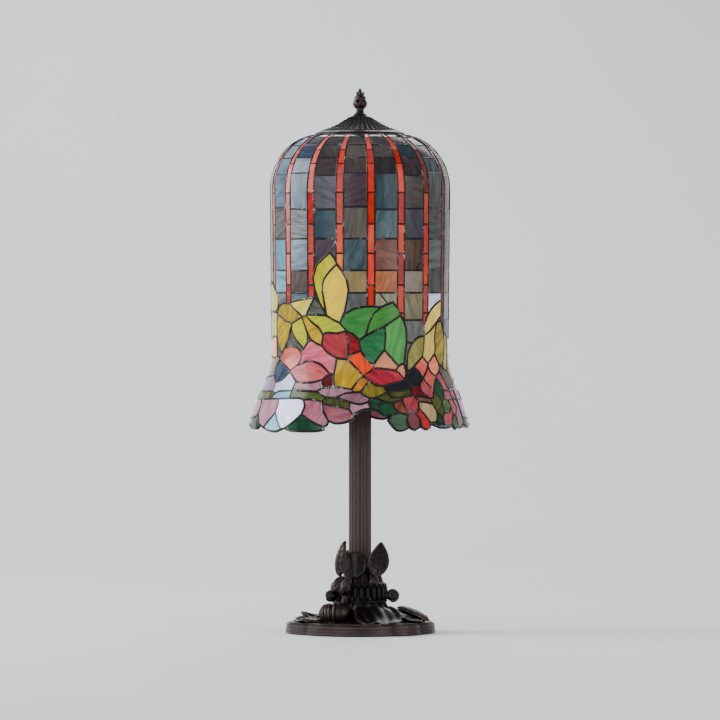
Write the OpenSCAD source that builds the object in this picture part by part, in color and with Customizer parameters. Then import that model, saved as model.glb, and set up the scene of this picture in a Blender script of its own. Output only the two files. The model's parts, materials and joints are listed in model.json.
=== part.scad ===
// Leaded-glass table lamp with a water-lily bell shade, a reeded stem and a lily-pad base.
// Origin: centre of the face that rests on the table. +Z is up, the front is towards -Y.

/* [Overall] */
// Height of the top edge of the glass shade
shade_top_z = 718.5; // [700:0.5:740]
// Thickness of the sheet glass
glass_t = 3; // [2:0.5:4]
// Width of a solder line between two panes
came_w = 2.2; // [1.6:0.1:3]
// How far a solder line stands proud of the glass on each side
came_proud = 0.8; // [0.4:0.1:1.2]

/* [Shade outline] */
// Outer radius of the straight drum
drum_r = 129.5; // [120:0.5:140]
// How much the drum narrows from its shoulder to its waist
drum_taper = 2.2; // [0:0.2:5]
// Height where the dome begins
dome_z = 640; // [630:1:650]
// Height where the skirt begins to flare
skirt_z = 402; // [395:1:410]
// How far the skirt flares beyond the waist
skirt_flare = 33; // [20:1:40]
// Height of the lowest point of the skirt
rim_z = 293; // [285:1:300]

/* [Ribbons and tiles] */
// Number of red ribbons round the shade
ribbon_count = 18; // [12:2:24]
// Angle of the first ribbon from the front
ribbon_start = 7; // [0:1:19]
// Half of the angle that a ribbon takes, to the middle of its solder line
ribbon_half = 2.42; // [2:0.02:3]

/* [Stand] */
// Largest radius of the base plate
base_r = 109; // [100:1:118]
// Radius of the stem over its reeds
stem_r = 16.3; // [14:0.1:18]
// Number of reeds on the stem
reed_count = 18; // [12:1:24]
// Height of the top of the stem
stem_top_z = 455; // [440:1:460]
// Radius of the threaded lamp pipe
pipe_r = 4.8; // [4.5:0.1:5]

/* [Lamp holders] */
// Tilt of each lamp holder from the vertical
holder_tilt = 32; // [25:1:35]
// Radius of a bulb
bulb_r = 30; // [25:1:32]
// Distance of each lamp holder's foot from the axis
holder_x = 24; // [22:1:28]
// Height of each lamp holder's foot
holder_z = 492; // [488:1:500]

/* [Hidden] */
$fn = 64;

// Colour names of the flower panes that each glass node holds
green_names = ["green", "teal", "deepgreen", "sage"];
yellow_names = ["yellow", "lime", "mustard", "amber"];
pink_names = ["pink", "rose", "blush", "mauve"];
red_names = ["red", "maroon", "orange", "coral", "peach"];
pale_names = ["white", "lavender", "cream", "skyblue", "aqua"];
olive_names = ["olive", "ochre", "khaki", "brown", "taupe", "tan"];
shadow_names = ["slate", "slateblue", "grey"];

// One half-turn of the water-lily band: each pane is a colour and its outline as
// [angle from the front, height]. The other half-turn repeats it.
lily_band = [
    ["lime", [[-90, 500], [-80, 506], [-69, 492], [-66, 478], [-68, 468], [-73, 463], [-90, 466]]],
    ["mustard", [[-67, 461], [-65, 470], [-60, 475.5], [-51.5, 476], [-46, 466], [-40.5, 457],
        [-49.5, 447.5], [-57, 450.5]]],
    ["cream", [[-51.5, 476], [-44, 480.5], [-31, 484.5], [-34, 472], [-37, 459], [-40.5, 457],
        [-46, 466]]],
    ["ochre", [[-67, 461], [-57, 450.5], [-49.5, 447.5], [-51.5, 438], [-54, 424], [-58, 411],
        [-61.5, 404.5], [-66, 414], [-69, 432], [-69, 450]]],
    ["lime", [[-40.5, 457], [-49.5, 447.5], [-49.5, 436], [-46, 424], [-39, 411], [-36, 421],
        [-36, 433], [-38.5, 446]]],
    ["mustard", [[-40.5, 457], [-37, 459], [-33, 450], [-27.5, 441], [-24.5, 431], [-25.5, 416],
        [-29, 418.5], [-33.5, 424], [-36, 433], [-38.5, 446]]],
    ["lime", [[-37, 459], [-30, 460], [-22, 458.5], [-17.5, 452.5], [-13, 448], [-9, 437],
        [-15, 433.5], [-22.5, 434], [-24.5, 431], [-27.5, 441], [-33, 450]]],
    ["grey", [[-51.5, 438], [-49.5, 447.5], [-49.5, 436], [-46, 424], [-39, 411], [-41.5, 407],
        [-46, 413.5], [-53, 414.5], [-58, 411], [-54, 424]]],
    ["lime", [[-19.5, 548], [-23, 542], [-29, 530], [-31.5, 512], [-30, 495], [-27, 477], [-22, 458.5],
        [-23.5, 477], [-24.8, 494], [-24, 508], [-20.5, 520], [-15, 532], [-17, 541]]],
    ["yellow", [[-15, 532], [-20.5, 520], [-24, 508], [-24.8, 494], [-23.5, 477], [-22, 458.5],
        [-17.5, 452.5], [-13, 448], [-10, 464], [-8.5, 480], [-7.5, 495], [-8.5, 508], [-11.5, 521]]],
    ["grey", [[-31, 484.5], [-27, 477], [-22, 458.5], [-30, 460], [-37, 459], [-34, 472]]],
    ["green", [[-13, 448], [-10, 460], [-4.5, 467.5], [2, 471], [8, 471.5], [13, 470], [9, 462],
        [6.5, 452], [5, 441], [3.5, 430], [-0.5, 423], [-4, 431], [-9, 437]]],
    ["green", [[13, 470], [17, 474], [21.5, 477.5], [25, 468], [27, 459.5], [20, 449], [16, 443],
        [9.5, 437], [3.5, 430], [5, 441], [6.5, 452], [9, 462]]],
    ["teal", [[-0.5, 423], [3.5, 430], [9.5, 437], [16, 443], [16.5, 430], [16, 410], [12.5, 401],
        [8.5, 388], [4.5, 395.5], [0.5, 409]]],
    ["green", [[27, 459.5], [29.5, 450], [31, 438], [31.3, 421], [30.5, 408], [29.5, 390],
        [27.5, 389.5], [25, 386.5], [21, 397], [16, 410], [16.5, 430], [16, 443], [20, 449]]],
    ["peach", [[16, 410], [12.5, 401], [8.5, 388], [8.5, 384.5], [16, 383], [23, 380.5], [25, 386.5],
        [21, 397]]],
    ["peach", [[27.5, 389.5], [25, 386.5], [23, 380.5], [24.5, 378], [28.5, 367.5], [30, 376],
        [29.5, 390]]],
    ["red", [[-22.5, 434], [-15, 433.5], [-9, 437], [-8, 425], [-7.5, 410], [-7.8, 396.5],
        [-15.5, 398], [-20.5, 404.5], [-25.5, 416], [-24.5, 431]]],
    ["red", [[-9, 437], [-4, 431], [-0.5, 423], [0.5, 409], [-3.5, 405.5], [-7.7, 401], [-7.5, 410],
        [-8, 425]]],
    ["orange", [[0.5, 409], [4.5, 395.5], [8.5, 388], [8.5, 384.5], [7, 380.5], [2, 372.5], [-4, 388],
        [-7.8, 396.5], [-7.7, 401], [-3.5, 405.5]]],
    ["red", [[8.5, 384.5], [7, 380.5], [2, 372.5], [5.5, 366.5], [9.5, 360], [14, 358.5], [20, 362.5],
        [25, 365], [28.5, 367.5], [24.5, 378], [23, 380.5], [16, 383]]],
    ["coral", [[-58, 411], [-53, 414.5], [-46, 413.5], [-41.5, 407], [-41, 397], [-43.5, 388.5],
        [-50, 379], [-56, 386.5], [-63.5, 396.5]]],
    ["pink", [[-36, 421], [-33.5, 424], [-29, 418.5], [-25.5, 416], [-20.5, 404.5], [-15.5, 398],
        [-15.8, 388], [-16.5, 374.5], [-19.5, 376], [-25, 387.5], [-31, 393], [-36.5, 393.5],
        [-43.5, 388.5], [-41, 397], [-41.5, 407], [-39, 411]]],
    ["rose", [[-50, 379], [-43.5, 388.5], [-36.5, 393.5], [-31, 393], [-25, 387.5], [-19.5, 376],
        [-23.5, 367.5], [-29, 364], [-36, 363], [-42, 366.5], [-46.5, 373]]],
    ["maroon", [[-19.5, 376], [-16.5, 374.5], [-15.5, 358], [-22.5, 356], [-23.5, 367.5]]],
    ["mauve", [[-42, 364], [-36, 363], [-29, 364], [-23.5, 367.5], [-22.5, 356], [-26, 350.5],
        [-32, 351.5], [-40, 352.5], [-43, 356]]],
    ["mustard", [[-15.5, 398], [-7.8, 396.5], [-4, 388], [2, 372.5], [-0.5, 369], [-5, 353.5],
        [-9, 355.5], [-15.5, 358], [-16.5, 374.5], [-15.8, 388]]],
    ["amber", [[2, 372.5], [5.5, 366.5], [0.5, 350.5], [-3.5, 350], [-5, 353.5], [-0.5, 369]]],
    ["ochre", [[5.5, 366.5], [9.5, 360], [14, 358.5], [16, 350], [9, 342], [5.5, 341.5], [1.5, 346.5],
        [0.5, 350.5]]],
    ["slate", [[14, 358.5], [20, 362.5], [25, 365], [28.5, 367.5], [32, 357.5], [27, 352.5],
        [21, 351.5], [16, 350]]],
    ["slate", [[28.5, 367.5], [30, 376], [31.5, 377.5], [36.5, 385.5], [40, 379], [42.5, 369.5],
        [38.5, 361], [32, 357.5]]],
    ["khaki", [[46, 430], [40, 426.5], [35.5, 418.5], [32.5, 405], [31.5, 390], [31.5, 377.5],
        [36.5, 385.5], [40.5, 393], [44.5, 400.5], [45.5, 415]]],
    ["grey", [[31.3, 421], [35.5, 418.5], [32.5, 405], [31.5, 390], [31.5, 377.5], [30, 376],
        [29.5, 390], [30.5, 408]]],
    ["cream", [[65, 481], [58, 474.5], [52.5, 466.5], [48.5, 456], [46, 443], [46, 430], [52.5, 437.5],
        [59, 448.5], [65, 458]]],
    ["cream", [[46, 430], [52.5, 437.5], [59, 448.5], [57, 430], [57.5, 412], [57, 404], [49, 389.5],
        [44.5, 400.5], [45.5, 415]]],
    ["ochre", [[59, 448.5], [66, 450], [69.5, 436], [71, 418], [70, 400], [67, 383], [61, 391],
        [57, 404], [57.5, 412], [57, 430]]],
    ["khaki", [[69.5, 436], [76, 428], [78, 400], [74, 378], [67, 383], [70, 400], [71, 418]]],
    ["peach", [[57, 404], [61, 391], [60.5, 379.5], [54.5, 371.5], [50, 379.5], [49, 389.5]]],
    ["coral", [[44.5, 400.5], [40.5, 393], [36.5, 385.5], [40, 379], [42.5, 369.5], [46.5, 379.5],
        [49, 389.5]]],
    ["coral", [[49, 389.5], [46.5, 379.5], [42.5, 369.5], [44, 363.5], [48.5, 352.5], [50.5, 360],
        [54.5, 371.5], [50, 379.5]]],
    ["rose", [[42.5, 369.5], [44, 363.5], [48.5, 352.5], [46, 341.5], [43.5, 340.5], [38.5, 351],
        [38.5, 361]]],
    ["maroon", [[32, 357.5], [38.5, 361], [38.5, 351], [43.5, 340.5], [38, 343.5], [33, 342.5],
        [30.5, 349]]],
    ["green", [[54.5, 371.5], [57, 364], [58, 352.5], [56, 339.5], [53.5, 338], [48.5, 352.5],
        [50.5, 360]]],
    ["pink", [[54.5, 371.5], [60.5, 379.5], [62.5, 368], [65.5, 350.5], [58, 352.5], [57, 364]]],
    ["pink", [[58, 352.5], [65.5, 350.5], [66, 340], [60, 337.5], [56, 339.5]]],
    ["sage", [[56, 339.5], [60, 337.5], [61, 328], [57, 320], [52.5, 321], [52, 330], [53.5, 338]]],
    ["olive", [[48.5, 352.5], [53.5, 338], [52, 330], [52.5, 321], [50, 313], [46, 322], [44.5, 333],
        [43.5, 340.5], [46, 341.5]]],
    ["brown", [[34.5, 336], [39, 335.5], [44.5, 333], [46, 322], [45.5, 314], [44, 306.5], [40, 306.5],
        [37, 318], [34, 327]]],
    ["taupe", [[33, 342.5], [38, 343.5], [43.5, 340.5], [44.5, 333], [39, 335.5], [34.5, 336]]],
    ["rose", [[24.5, 339.5], [30, 344.5], [33, 342.5], [34.5, 336], [34, 327], [32, 319.5], [28, 323],
        [25, 331]]],
    ["olive", [[16, 350], [21, 351.5], [27, 352.5], [32, 357.5], [30.5, 349], [33, 342.5], [30, 344.5],
        [24.5, 342], [18, 342.5]]],
    ["olive", [[9, 342], [16, 350], [18, 342.5], [24.5, 342], [24.5, 339.5], [19, 334.5], [14, 336]]],
    ["taupe", [[19, 334.5], [24.5, 339.5], [25, 331], [28, 323], [26.5, 317.5], [21.5, 321],
        [18.5, 329]]],
    ["maroon", [[26.5, 317.5], [28, 323], [32, 319.5], [33.5, 311], [33, 300], [30, 296], [27.5, 299],
        [25.5, 309]]],
    ["red", [[34, 327], [37, 318], [40, 306.5], [39.5, 299], [37, 296.5], [34.5, 300], [33.5, 311],
        [32, 319.5]]],
    ["deepgreen", [[17, 318], [21.5, 321], [26.5, 317.5], [25.5, 309], [26, 299], [23.5, 296],
        [20, 295.5], [17.5, 301], [15, 310]]],
    ["deepgreen", [[10.5, 334], [14, 336], [19, 334.5], [18.5, 329], [21.5, 321], [17, 318],
        [13, 316.5], [9.5, 324]]],
    ["deepgreen", [[4.5, 336.5], [5.5, 341.5], [9, 342], [14, 336], [10.5, 334], [9.5, 324], [6, 327]]],
    ["pink", [[-13.5, 342.5], [-8.5, 348.5], [-3.5, 350], [0.5, 350.5], [1.5, 346.5], [5.5, 341.5],
        [4.5, 336.5], [0, 333], [-6, 336]]],
    ["pink", [[-26, 350.5], [-22.5, 356], [-15.5, 358], [-9, 355.5], [-5, 353.5], [-3.5, 350],
        [-8.5, 348.5], [-13.5, 342.5], [-20, 342.5]]],
    ["mauve", [[-6, 336], [0, 333], [4.5, 336.5], [6, 327], [1, 325], [-4, 318], [-6, 326]]],
    ["olive", [[-21.5, 337], [-20, 342.5], [-13.5, 342.5], [-6, 336], [-6, 326], [-12, 329.5],
        [-21, 333.5]]],
    ["olive", [[-43.5, 347], [-40, 352.5], [-32, 351.5], [-26, 350.5], [-20, 342.5], [-21.5, 337],
        [-29, 339.5], [-36, 341], [-43, 341]]],
    ["skyblue", [[-58, 347], [-55, 350.5], [-43, 351.5], [-43.5, 347], [-43, 341], [-52, 339.5],
        [-60, 339.5]]],
    ["olive", [[-90, 349], [-72, 350], [-61, 350.5], [-58, 347], [-60, 339.5], [-74, 338.5],
        [-90, 338]]],
    ["white", [[-50, 379], [-55, 368], [-61.5, 362], [-61, 350.5], [-55, 350.5], [-43, 351.5],
        [-43, 356], [-42, 364], [-46.5, 373]]],
    ["lavender", [[-74, 371.5], [-67, 372], [-61.5, 362], [-61, 350.5], [-72, 350], [-90, 349],
        [-90, 368]]],
    ["slateblue", [[-63.5, 396.5], [-56, 386.5], [-50, 379], [-55, 368], [-61.5, 362], [-67, 372],
        [-69, 384]]],
    ["peach", [[-90, 425], [-77, 428], [-70, 428], [-69, 412], [-69, 400], [-74, 397.5], [-90, 400]]],
    ["tan", [[-90, 400], [-74, 397.5], [-69, 400], [-63.5, 396.5], [-69, 384], [-67, 372],
        [-74, 371.5], [-90, 368]]],
    ["grey", [[-70, 428], [-69, 432], [-66, 414], [-61.5, 404.5], [-58, 411], [-63.5, 396.5],
        [-69, 400], [-69, 412]]],
    ["khaki", [[-73, 463], [-67, 461], [-69, 450], [-69, 432], [-70, 428], [-77, 428], [-90, 425],
        [-90, 466]]],
    ["blush", [[-90, 338], [-74, 338.5], [-69.5, 334], [-69, 318], [-73, 313], [-90, 310]]],
    ["deepgreen", [[-73, 313], [-69, 318], [-65, 303], [-67, 297], [-75, 297], [-83, 301], [-90, 303],
        [-90, 310]]],
    ["blush", [[-69.5, 334], [-74, 338.5], [-60, 339.5], [-52, 339.5], [-51, 333], [-51.5, 320],
        [-57, 307], [-60.5, 298.5], [-65, 303], [-69, 318]]],
    ["aqua", [[-51.5, 320], [-57, 307], [-60.5, 298.5], [-55.5, 294.5], [-49.5, 293.5], [-45, 297],
        [-47, 304]]],
    ["lavender", [[-51, 333], [-52, 339.5], [-43, 341], [-36, 341], [-33, 338.5], [-31.5, 330],
        [-32.5, 318.5], [-37, 307.5], [-42, 299], [-45, 297], [-47, 304], [-51.5, 320]]],
    ["deepgreen", [[-32.5, 318.5], [-37, 307.5], [-42, 299], [-41, 296], [-33, 294.5], [-24, 294.5],
        [-19, 297], [-19.5, 301], [-26, 308.5]]],
    ["rose", [[-33, 338.5], [-29, 339.5], [-21.5, 337], [-21, 333.5], [-20.5, 325], [-17, 310],
        [-17.5, 304], [-19.5, 301], [-26, 308.5], [-32.5, 318.5], [-31.5, 330]]],
    ["rose", [[-21, 333.5], [-12, 329.5], [-6, 326], [-4, 318], [-4, 312], [-8, 307.5], [-13, 306],
        [-17, 310], [-20.5, 325]]],
    ["deepgreen", [[46, 322], [50, 313], [50.5, 303], [46, 303], [44, 306.5], [45.5, 314]]],
    ["pink", [[52.5, 321], [57, 320], [61, 328], [61, 318], [58, 303], [50.5, 303], [50, 313]]],
    ["sage", [[61, 318], [64, 316], [65, 300], [61.5, 296.5], [58, 303]]],
    ["pink", [[60, 337.5], [66, 340], [68, 327], [64, 316], [61, 318], [61, 328]]],
    ["mauve", [[66, 340], [73, 338], [73, 305], [69, 298], [65, 300], [64, 316], [68, 327]]],
    ["pink", [[65.5, 350.5], [73, 352], [73, 338], [66, 340]]],
    ["taupe", [[60.5, 379.5], [61, 391], [67, 383], [74, 378], [78, 362], [73, 352], [65.5, 350.5],
        [62.5, 368]]],
    ["khaki", [[76, 428], [90, 425], [90, 400], [78, 400]]],
    ["tan", [[78, 400], [90, 400], [90, 368], [78, 362], [74, 378]]],
    ["blush", [[73, 352], [78, 362], [90, 368], [90, 349], [90, 338], [73, 338]]],
    ["mauve", [[73, 338], [90, 338], [90, 310], [73, 313]]],
    ["sage", [[73, 313], [90, 310], [90, 303], [81, 298], [73, 305]]],
];

// The rim of the skirt over one half-turn, as [angle, height]: scallops and one high arch
skirt_rim = [
    [-90, 302], [-83, 299], [-75, 295.5], [-67, 295.5], [-60.5, 297], [-55.5, 293],
    [-49.5, 292], [-45, 295], [-41, 294.5], [-33, 293], [-24, 293], [-19, 295.5],
    [-16, 303], [-13, 304.5], [-8, 306], [-2.8, 311], [-2.8, 316.5], [1, 323.5], [6, 325.5],
    [9, 322.5], [13, 315], [14.5, 309], [17, 300], [19.5, 294], [23.5, 294.5], [27, 297.5],
    [30, 294.5], [33.5, 298], [37, 295], [40, 297.5], [41.5, 304.5], [46, 301.5], [51, 301.5],
    [57.5, 301.5], [61.5, 295], [65, 298], [69, 296.5], [74, 303], [81, 296.5], [90, 302]
];

// Revolved profiles, as [radius, height]
cap_profile = [
    [3.4, 755.3], [5.3, 755.3], [6, 751], [9, 748], [15, 744], [23.5, 738.8], [33, 733],
    [42, 728.6], [50.5, 726], [57.5, 724], [62.5, 722.6], [64.5, 721.5], [64.5, 718.5],
    [60, 718.5], [56, 720.5], [50, 722.5], [42, 725], [33, 729.5], [23, 735.5], [14, 741.5],
    [7, 745.5], [3.4, 746]
];
finial_profile = [
    [3.15, 756], [6.2, 756], [5.2, 757.8], [6.5, 759.5], [9.3, 763], [9, 766], [6.2, 769],
    [5.4, 770], [7.4, 773.5], [7.2, 776.5], [5, 779.5], [2.4, 782.5], [1.4, 785.5], [0, 787],
    [0, 764.5], [3.15, 764.5]
];
bulb_profile = [
    [0, 0], [12, 0], [13.5, 8], [17, 18], [23, 30], [28, 41], [bulb_r, 52], [28.5, 63],
    [24, 71.5], [17, 78], [9, 81.4], [0, 82]
];
mound_profile = [
    [16.6, 17], [76, 17], [72, 20], [60, 23], [46, 30], [36, 41], [30, 56], [26, 72],
    [22, 86], [19.4, 98], [16.6, 98]
];
bud_profile = [
    [0, -14], [4, -13], [7.5, -9], [8.7, -3], [8, 4], [5.5, 10], [2.5, 13.5], [0, 15]
];

// Derived sizes and places
socket_h = 52;
bulb_seat = 44;
base_top = 17;
felt_t = 1.6;
wheel_top = 713.5;
cap_top = 755.3;
rows_end = 568;

// Angle that a flat facet of the skirt's lattice takes
facet = 9;

// Angles at which the rim is split into stretches
rim_stretches = [-90, -67, -49.5, -33, -16, 1, 19.5, 37, 57.5, 74, 90];
chain_x = 36;
chain_y = -27;
chain_top = 497;
chain_len = 101;
sides = [-1, 1];
half_turns = [0, 180];
column_angles = [for (k = [-4:4]) 20 * k - 3];
ribbon_angles = [for (k = [-4:4]) 20 * k + ribbon_start];
column_half = 180 / ribbon_count - ribbon_half;

// ---- Shade geometry -------------------------------------------------------------------

function smooth(t) = let (u = min(1, max(0, t))) u * u * (3 - 2 * u);

// Outer radius of the glass at height z: a quarter ellipse for the dome, a slightly tapered
// drum and an S-shaped flare for the skirt
function dome_radius(z) = 58 + 71.5 * sqrt(max(0, 1 - pow((z - dome_z) / 79, 2)));
function lower_radius(z) =
    drum_r - drum_taper * min(1, (dome_z - z) / 210) + skirt_flare * smooth((skirt_z - z) / 109);
function shade_radius(z) = z > dome_z ? dome_radius(z) : lower_radius(z);

// Heights at which the profile is sampled between two heights, closer on the curves
function profile_heights(low, high) = concat(
    [low],
    [for (z = [310:17.5:402]) if (z > low + 1 && z < high - 1) z],
    [for (z = [dome_z]) if (z > low + 1 && z < high - 1) z],
    [for (z = [652:9:715]) if (z > low + 1 && z < high - 1) z],
    [high]
);

// Point of the shade wall at height z, moved out along the surface's normal
function wall_point(z, out) =
    let (slope = (shade_radius(z + 0.05) - shade_radius(z - 0.05)) / 0.1, n = [1, -slope])
    [shade_radius(z), z] + n / norm(n) * out;

// Cross-section of a layer of the shade wall, from out beyond the glass face to in behind it
function wall_section(low, high, out, in) =
    let (heights = profile_heights(low, high), last = len(heights) - 1)
    concat(
        [for (i = [0:last]) wall_point(heights[i], out)],
        [for (i = [last:-1:0]) wall_point(heights[i], -in)]
    );

module wall_profile(low, high, out, in) {
    polygon(wall_section(low, high, out, in));
}

// Part of the shade wall between two angles, which run from the front towards +X
module wall_sector(low, high, from, to, out, in) {
    rotate([0, 0, from - 90]) rotate_extrude(angle = to - from) wall_profile(low, high, out, in);
}

function angles_of(outline) = [for (p = outline) p[0]];
function heights_of(outline) = [for (p = outline) p[1]];
function middle(outline) = (min(angles_of(outline)) + max(angles_of(outline))) / 2;

// An outline of [angle, height] seen square on from angle a, as flat [x, height] points
function flatten(outline, a) = [for (p = outline) [shade_radius(p[1]) * sin(p[0] - a), p[1]]];

// Twice the signed area of a flat outline
function winding(outline) = let (n = len(outline), ones = [for (p = outline) 1]) ones * [
    for (i = [0:n - 1]) let (p = outline[i], q = outline[(i + 1) % n]) p[0] * q[1] - q[0] * p[1]
];

// Unit normal of the edge from p to q, which points into an outline whose winding has this sign
function edge_normal(p, q, sign) = let (d = (q - p) / norm(q - p)) [-d[1], d[0]] * sign;

// The outline moved inwards by gap along every edge, or outwards for a negative gap
function inset(outline, gap) = let (n = len(outline), sign = winding(outline) > 0 ? 1 : -1) [
    for (i = [0:n - 1])
        let (
            before = edge_normal(outline[(i + n - 1) % n], outline[i], sign),
            after = edge_normal(outline[i], outline[(i + 1) % n], sign)
        )
        outline[i] + (before + after) / max(0.25, 1 + before * after) * gap
];

module pane_shape(outline, a, gap) {
    polygon(inset(flatten(outline, a), gap));
}

// A flat shape pushed outwards through the wall at angle a
module radial_punch(a) {
    rotate([0, 0, a]) translate([0, -90, 0]) rotate([90, 0, 0]) linear_extrude(90) children();
}

// Flower outlines that reach into a cell of the background
function near_outlines(cell) = [
    for (pane = lily_band)
        let (a = angles_of(pane[1]), z = heights_of(pane[1]))
        if (max(a) > min(angles_of(cell)) - 1 && min(a) < max(angles_of(cell)) + 1
            && max(z) > min(heights_of(cell)) - 2 && min(z) < max(heights_of(cell)) + 2) pane[1]
];

// A background piece, cut back to leave the flowers and their solder lines
module cell_shape(cell, gap) {
    difference() {
        pane_shape(cell, middle(cell), gap);
        for (outline = near_outlines(cell)) pane_shape(outline, middle(cell), -gap);
    }
}

function cell_outline(a, half, low, high) =
    let (left = max(-90, a - half), right = min(90, a + half))
    [[left, low], [right, low], [right, high], [left, high]];

// Whether a point lies inside an outline: an odd number of edges pass on one side of it
function crosses(point, p, q) =
    (p[1] > point[1]) != (q[1] > point[1])
    && point[0] < p[0] + (q[0] - p[0]) * (point[1] - p[1]) / (q[1] - p[1]);
function is_inside(point, outline) = let (n = len(outline))
    len([for (i = [0:n - 1]) if (crosses(point, outline[i], outline[(i + 1) % n])) i]) % 2 == 1;
function is_covered(point, outlines) =
    len([for (outline = outlines) if (is_inside(point, outline)) 1]) > 0;

// The share of a cell that the flowers leave free, from a grid of sample points
function free_share(cell) =
    let (
        outlines = near_outlines(cell),
        steps = [for (i = [0.5:1:6]) i / 6],
        samples = [for (u = steps) for (v = steps) cell[0] + [
            u * (cell[2][0] - cell[0][0]), v * (cell[2][1] - cell[0][1])
        ]]
    )
    len([for (point = samples) if (!is_covered(point, outlines)) 1]) / len(samples);

// The tiles between the ribbons, and the ribbon pieces, over one half-turn of the lower drum.
// A cell that the flowers nearly fill is left out.
tile_rows = [568, 523, 491, 452, 418];
ribbon_rows = [568, 547, 502, 462, 440];
function cells(middles, half, rows) = [
    for (a = middles) for (i = [0:len(rows) - 2])
        let (cell = cell_outline(a, half, rows[i + 1], rows[i]))
        if (free_share(cell) > 0.12) cell
];
tile_cells = cells(column_angles, column_half, tile_rows);
ribbon_cells = cells(ribbon_angles, ribbon_half, ribbon_rows);

module cell_pane(cell) {
    a = angles_of(cell);
    z = heights_of(cell);
    intersection() {
        wall_sector(min(z), max(z), min(a), max(a), 0, glass_t);
        radial_punch(middle(cell)) cell_shape(cell, came_w / 2);
    }
}

module flower_pane(outline) {
    a = angles_of(outline);
    z = heights_of(outline);
    intersection() {
        wall_sector(min(z) - 2, max(z) + 2, min(a) - 2, max(a) + 2, 0, glass_t);
        radial_punch(middle(outline)) pane_shape(outline, middle(outline), came_w / 2);
    }
}

function in_list(name, names) = len([for (n = names) if (n == name) n]) > 0;

module flower_glass(names, tint) {
    color(tint) for (half_turn = half_turns) rotate([0, 0, half_turn])
        for (pane = lily_band) if (in_list(pane[0], names)) flower_pane(pane[1]);
}

module green_leaf_glass() flower_glass(green_names, "forestgreen");
module yellow_leaf_glass() flower_glass(yellow_names, "gold");
module pink_petal_glass() flower_glass(pink_names, "palevioletred");
module red_petal_glass() flower_glass(red_names, "tomato");
module pale_petal_glass() flower_glass(pale_names, "lavender");
module olive_band_glass() flower_glass(olive_names, "darkkhaki");
module shadow_glass() flower_glass(shadow_names, "darkslategray");

// Row lines above the flowers, from the top down
dome_rows = [718.5, 713, 702, 684, 665, 640];
drum_upper_rows = [dome_z, 611, rows_end];
ribbon_upper_rows = [718.5, 713, 702, 684, 665, 640, 611, rows_end];

// How far the solder lines reach in from the outer face of the glass
came_inside = glass_t + came_proud;

// Half of the angle that a solder line takes on the drum
came_half = came_w / 2 / drum_r * 180 / PI;

// Heights of the lower and upper pane edges at a row line: half a solder line's width away
// from it, measured along the surface
function steepness(z) = norm(wall_point(z + 0.05, 0) - wall_point(z - 0.05, 0)) / 0.1;
function line_below(z) = z + came_w / 2 / steepness(z);
function line_above(z) = z - came_w / 2 / steepness(z);

// Rows of panes on the dome and upper drum, between two angles either side of a
module upper_panes(a, half, rows) {
    for (i = [0:len(rows) - 2])
        wall_sector(
            line_below(rows[i + 1]), line_above(rows[i]),
            a - half + came_half, a + half - came_half, 0, glass_t
        );
}

module dome_tile_glass() {
    color("slategray") for (half_turn = half_turns) for (a = column_angles)
        upper_panes(a + half_turn, column_half, dome_rows);
}

module drum_tile_glass() {
    color("cadetblue") for (half_turn = half_turns) rotate([0, 0, half_turn]) {
        for (a = column_angles) upper_panes(a, column_half, drum_upper_rows);
        for (cell = tile_cells) cell_pane(cell);
    }
}

module ribbon_glass() {
    color("orangered") for (half_turn = half_turns) rotate([0, 0, half_turn]) {
        for (a = ribbon_angles) upper_panes(a, ribbon_half, ribbon_upper_rows);
        for (cell = ribbon_cells) cell_pane(cell);
    }
}

// ---- Solder lines ---------------------------------------------------------------------

// Openings right through the wall for rows of panes between two angles either side of a
module upper_windows(a, half, rows) {
    through = glass_t + 4;
    for (i = [0:len(rows) - 2])
        let (low = line_below(rows[i + 1]), high = line_above(rows[i]))
            rotate([0, 0, a - half + came_half - 90])
                rotate_extrude(angle = 2 * (half - came_half)) polygon([
                    wall_point(low, 4), wall_point(high, 4),
                    wall_point(high, -through), wall_point(low, -through)
                ]);
}

module came_drum() {
    color("dimgray") {
        difference() {
            // turned so that the seam of the wall runs down the middle of a solder line
            rotate([0, 0, ribbon_start + ribbon_half - 10])
                rotate_extrude() wall_profile(rows_end, shade_top_z, came_proud, came_inside);
            for (half_turn = half_turns) {
                for (a = column_angles)
                    upper_windows(a + half_turn, column_half, concat(dome_rows, [611, rows_end]));
                for (a = ribbon_angles)
                    upper_windows(a + half_turn, ribbon_half, ribbon_upper_rows);
            }
        }
        ring(65.4, 66.6, 714.9, shade_top_z + 0.4);
    }
}

// The same wall built of flat facets: its section is repeated at every facet's edge, and the
// sections are joined by flat four-sided faces. Section points run up the outside and down the
// inside, so point i of the outside lies across the wall from point n - 1 - i.
module faceted_wall(low, high, from, to, out, in) {
    section = wall_section(low, high, out, in);
    n = len(section);
    steps = round((to - from) / facet);
    points = [
        for (k = [0:steps]) for (p = section)
            let (a = from + k * facet, r = p[0] / cos(facet / 2)) [r * sin(a), -r * cos(a), p[1]]
    ];
    sides = [
        for (k = [0:steps - 1]) for (i = [0:n - 1]) let (j = (i + 1) % n)
            [k * n + i, k * n + j, (k + 1) * n + j, (k + 1) * n + i]
    ];
    first_end = [for (i = [0:n / 2 - 2]) [n - 1 - i, n - 2 - i, i + 1, i]];
    last_end = [for (i = [0:n / 2 - 2]) [i, i + 1, n - 2 - i, n - 1 - i] + steps * n * [1, 1, 1, 1]];
    polyhedron(points, concat(first_end, sides, last_end));
}

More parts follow.
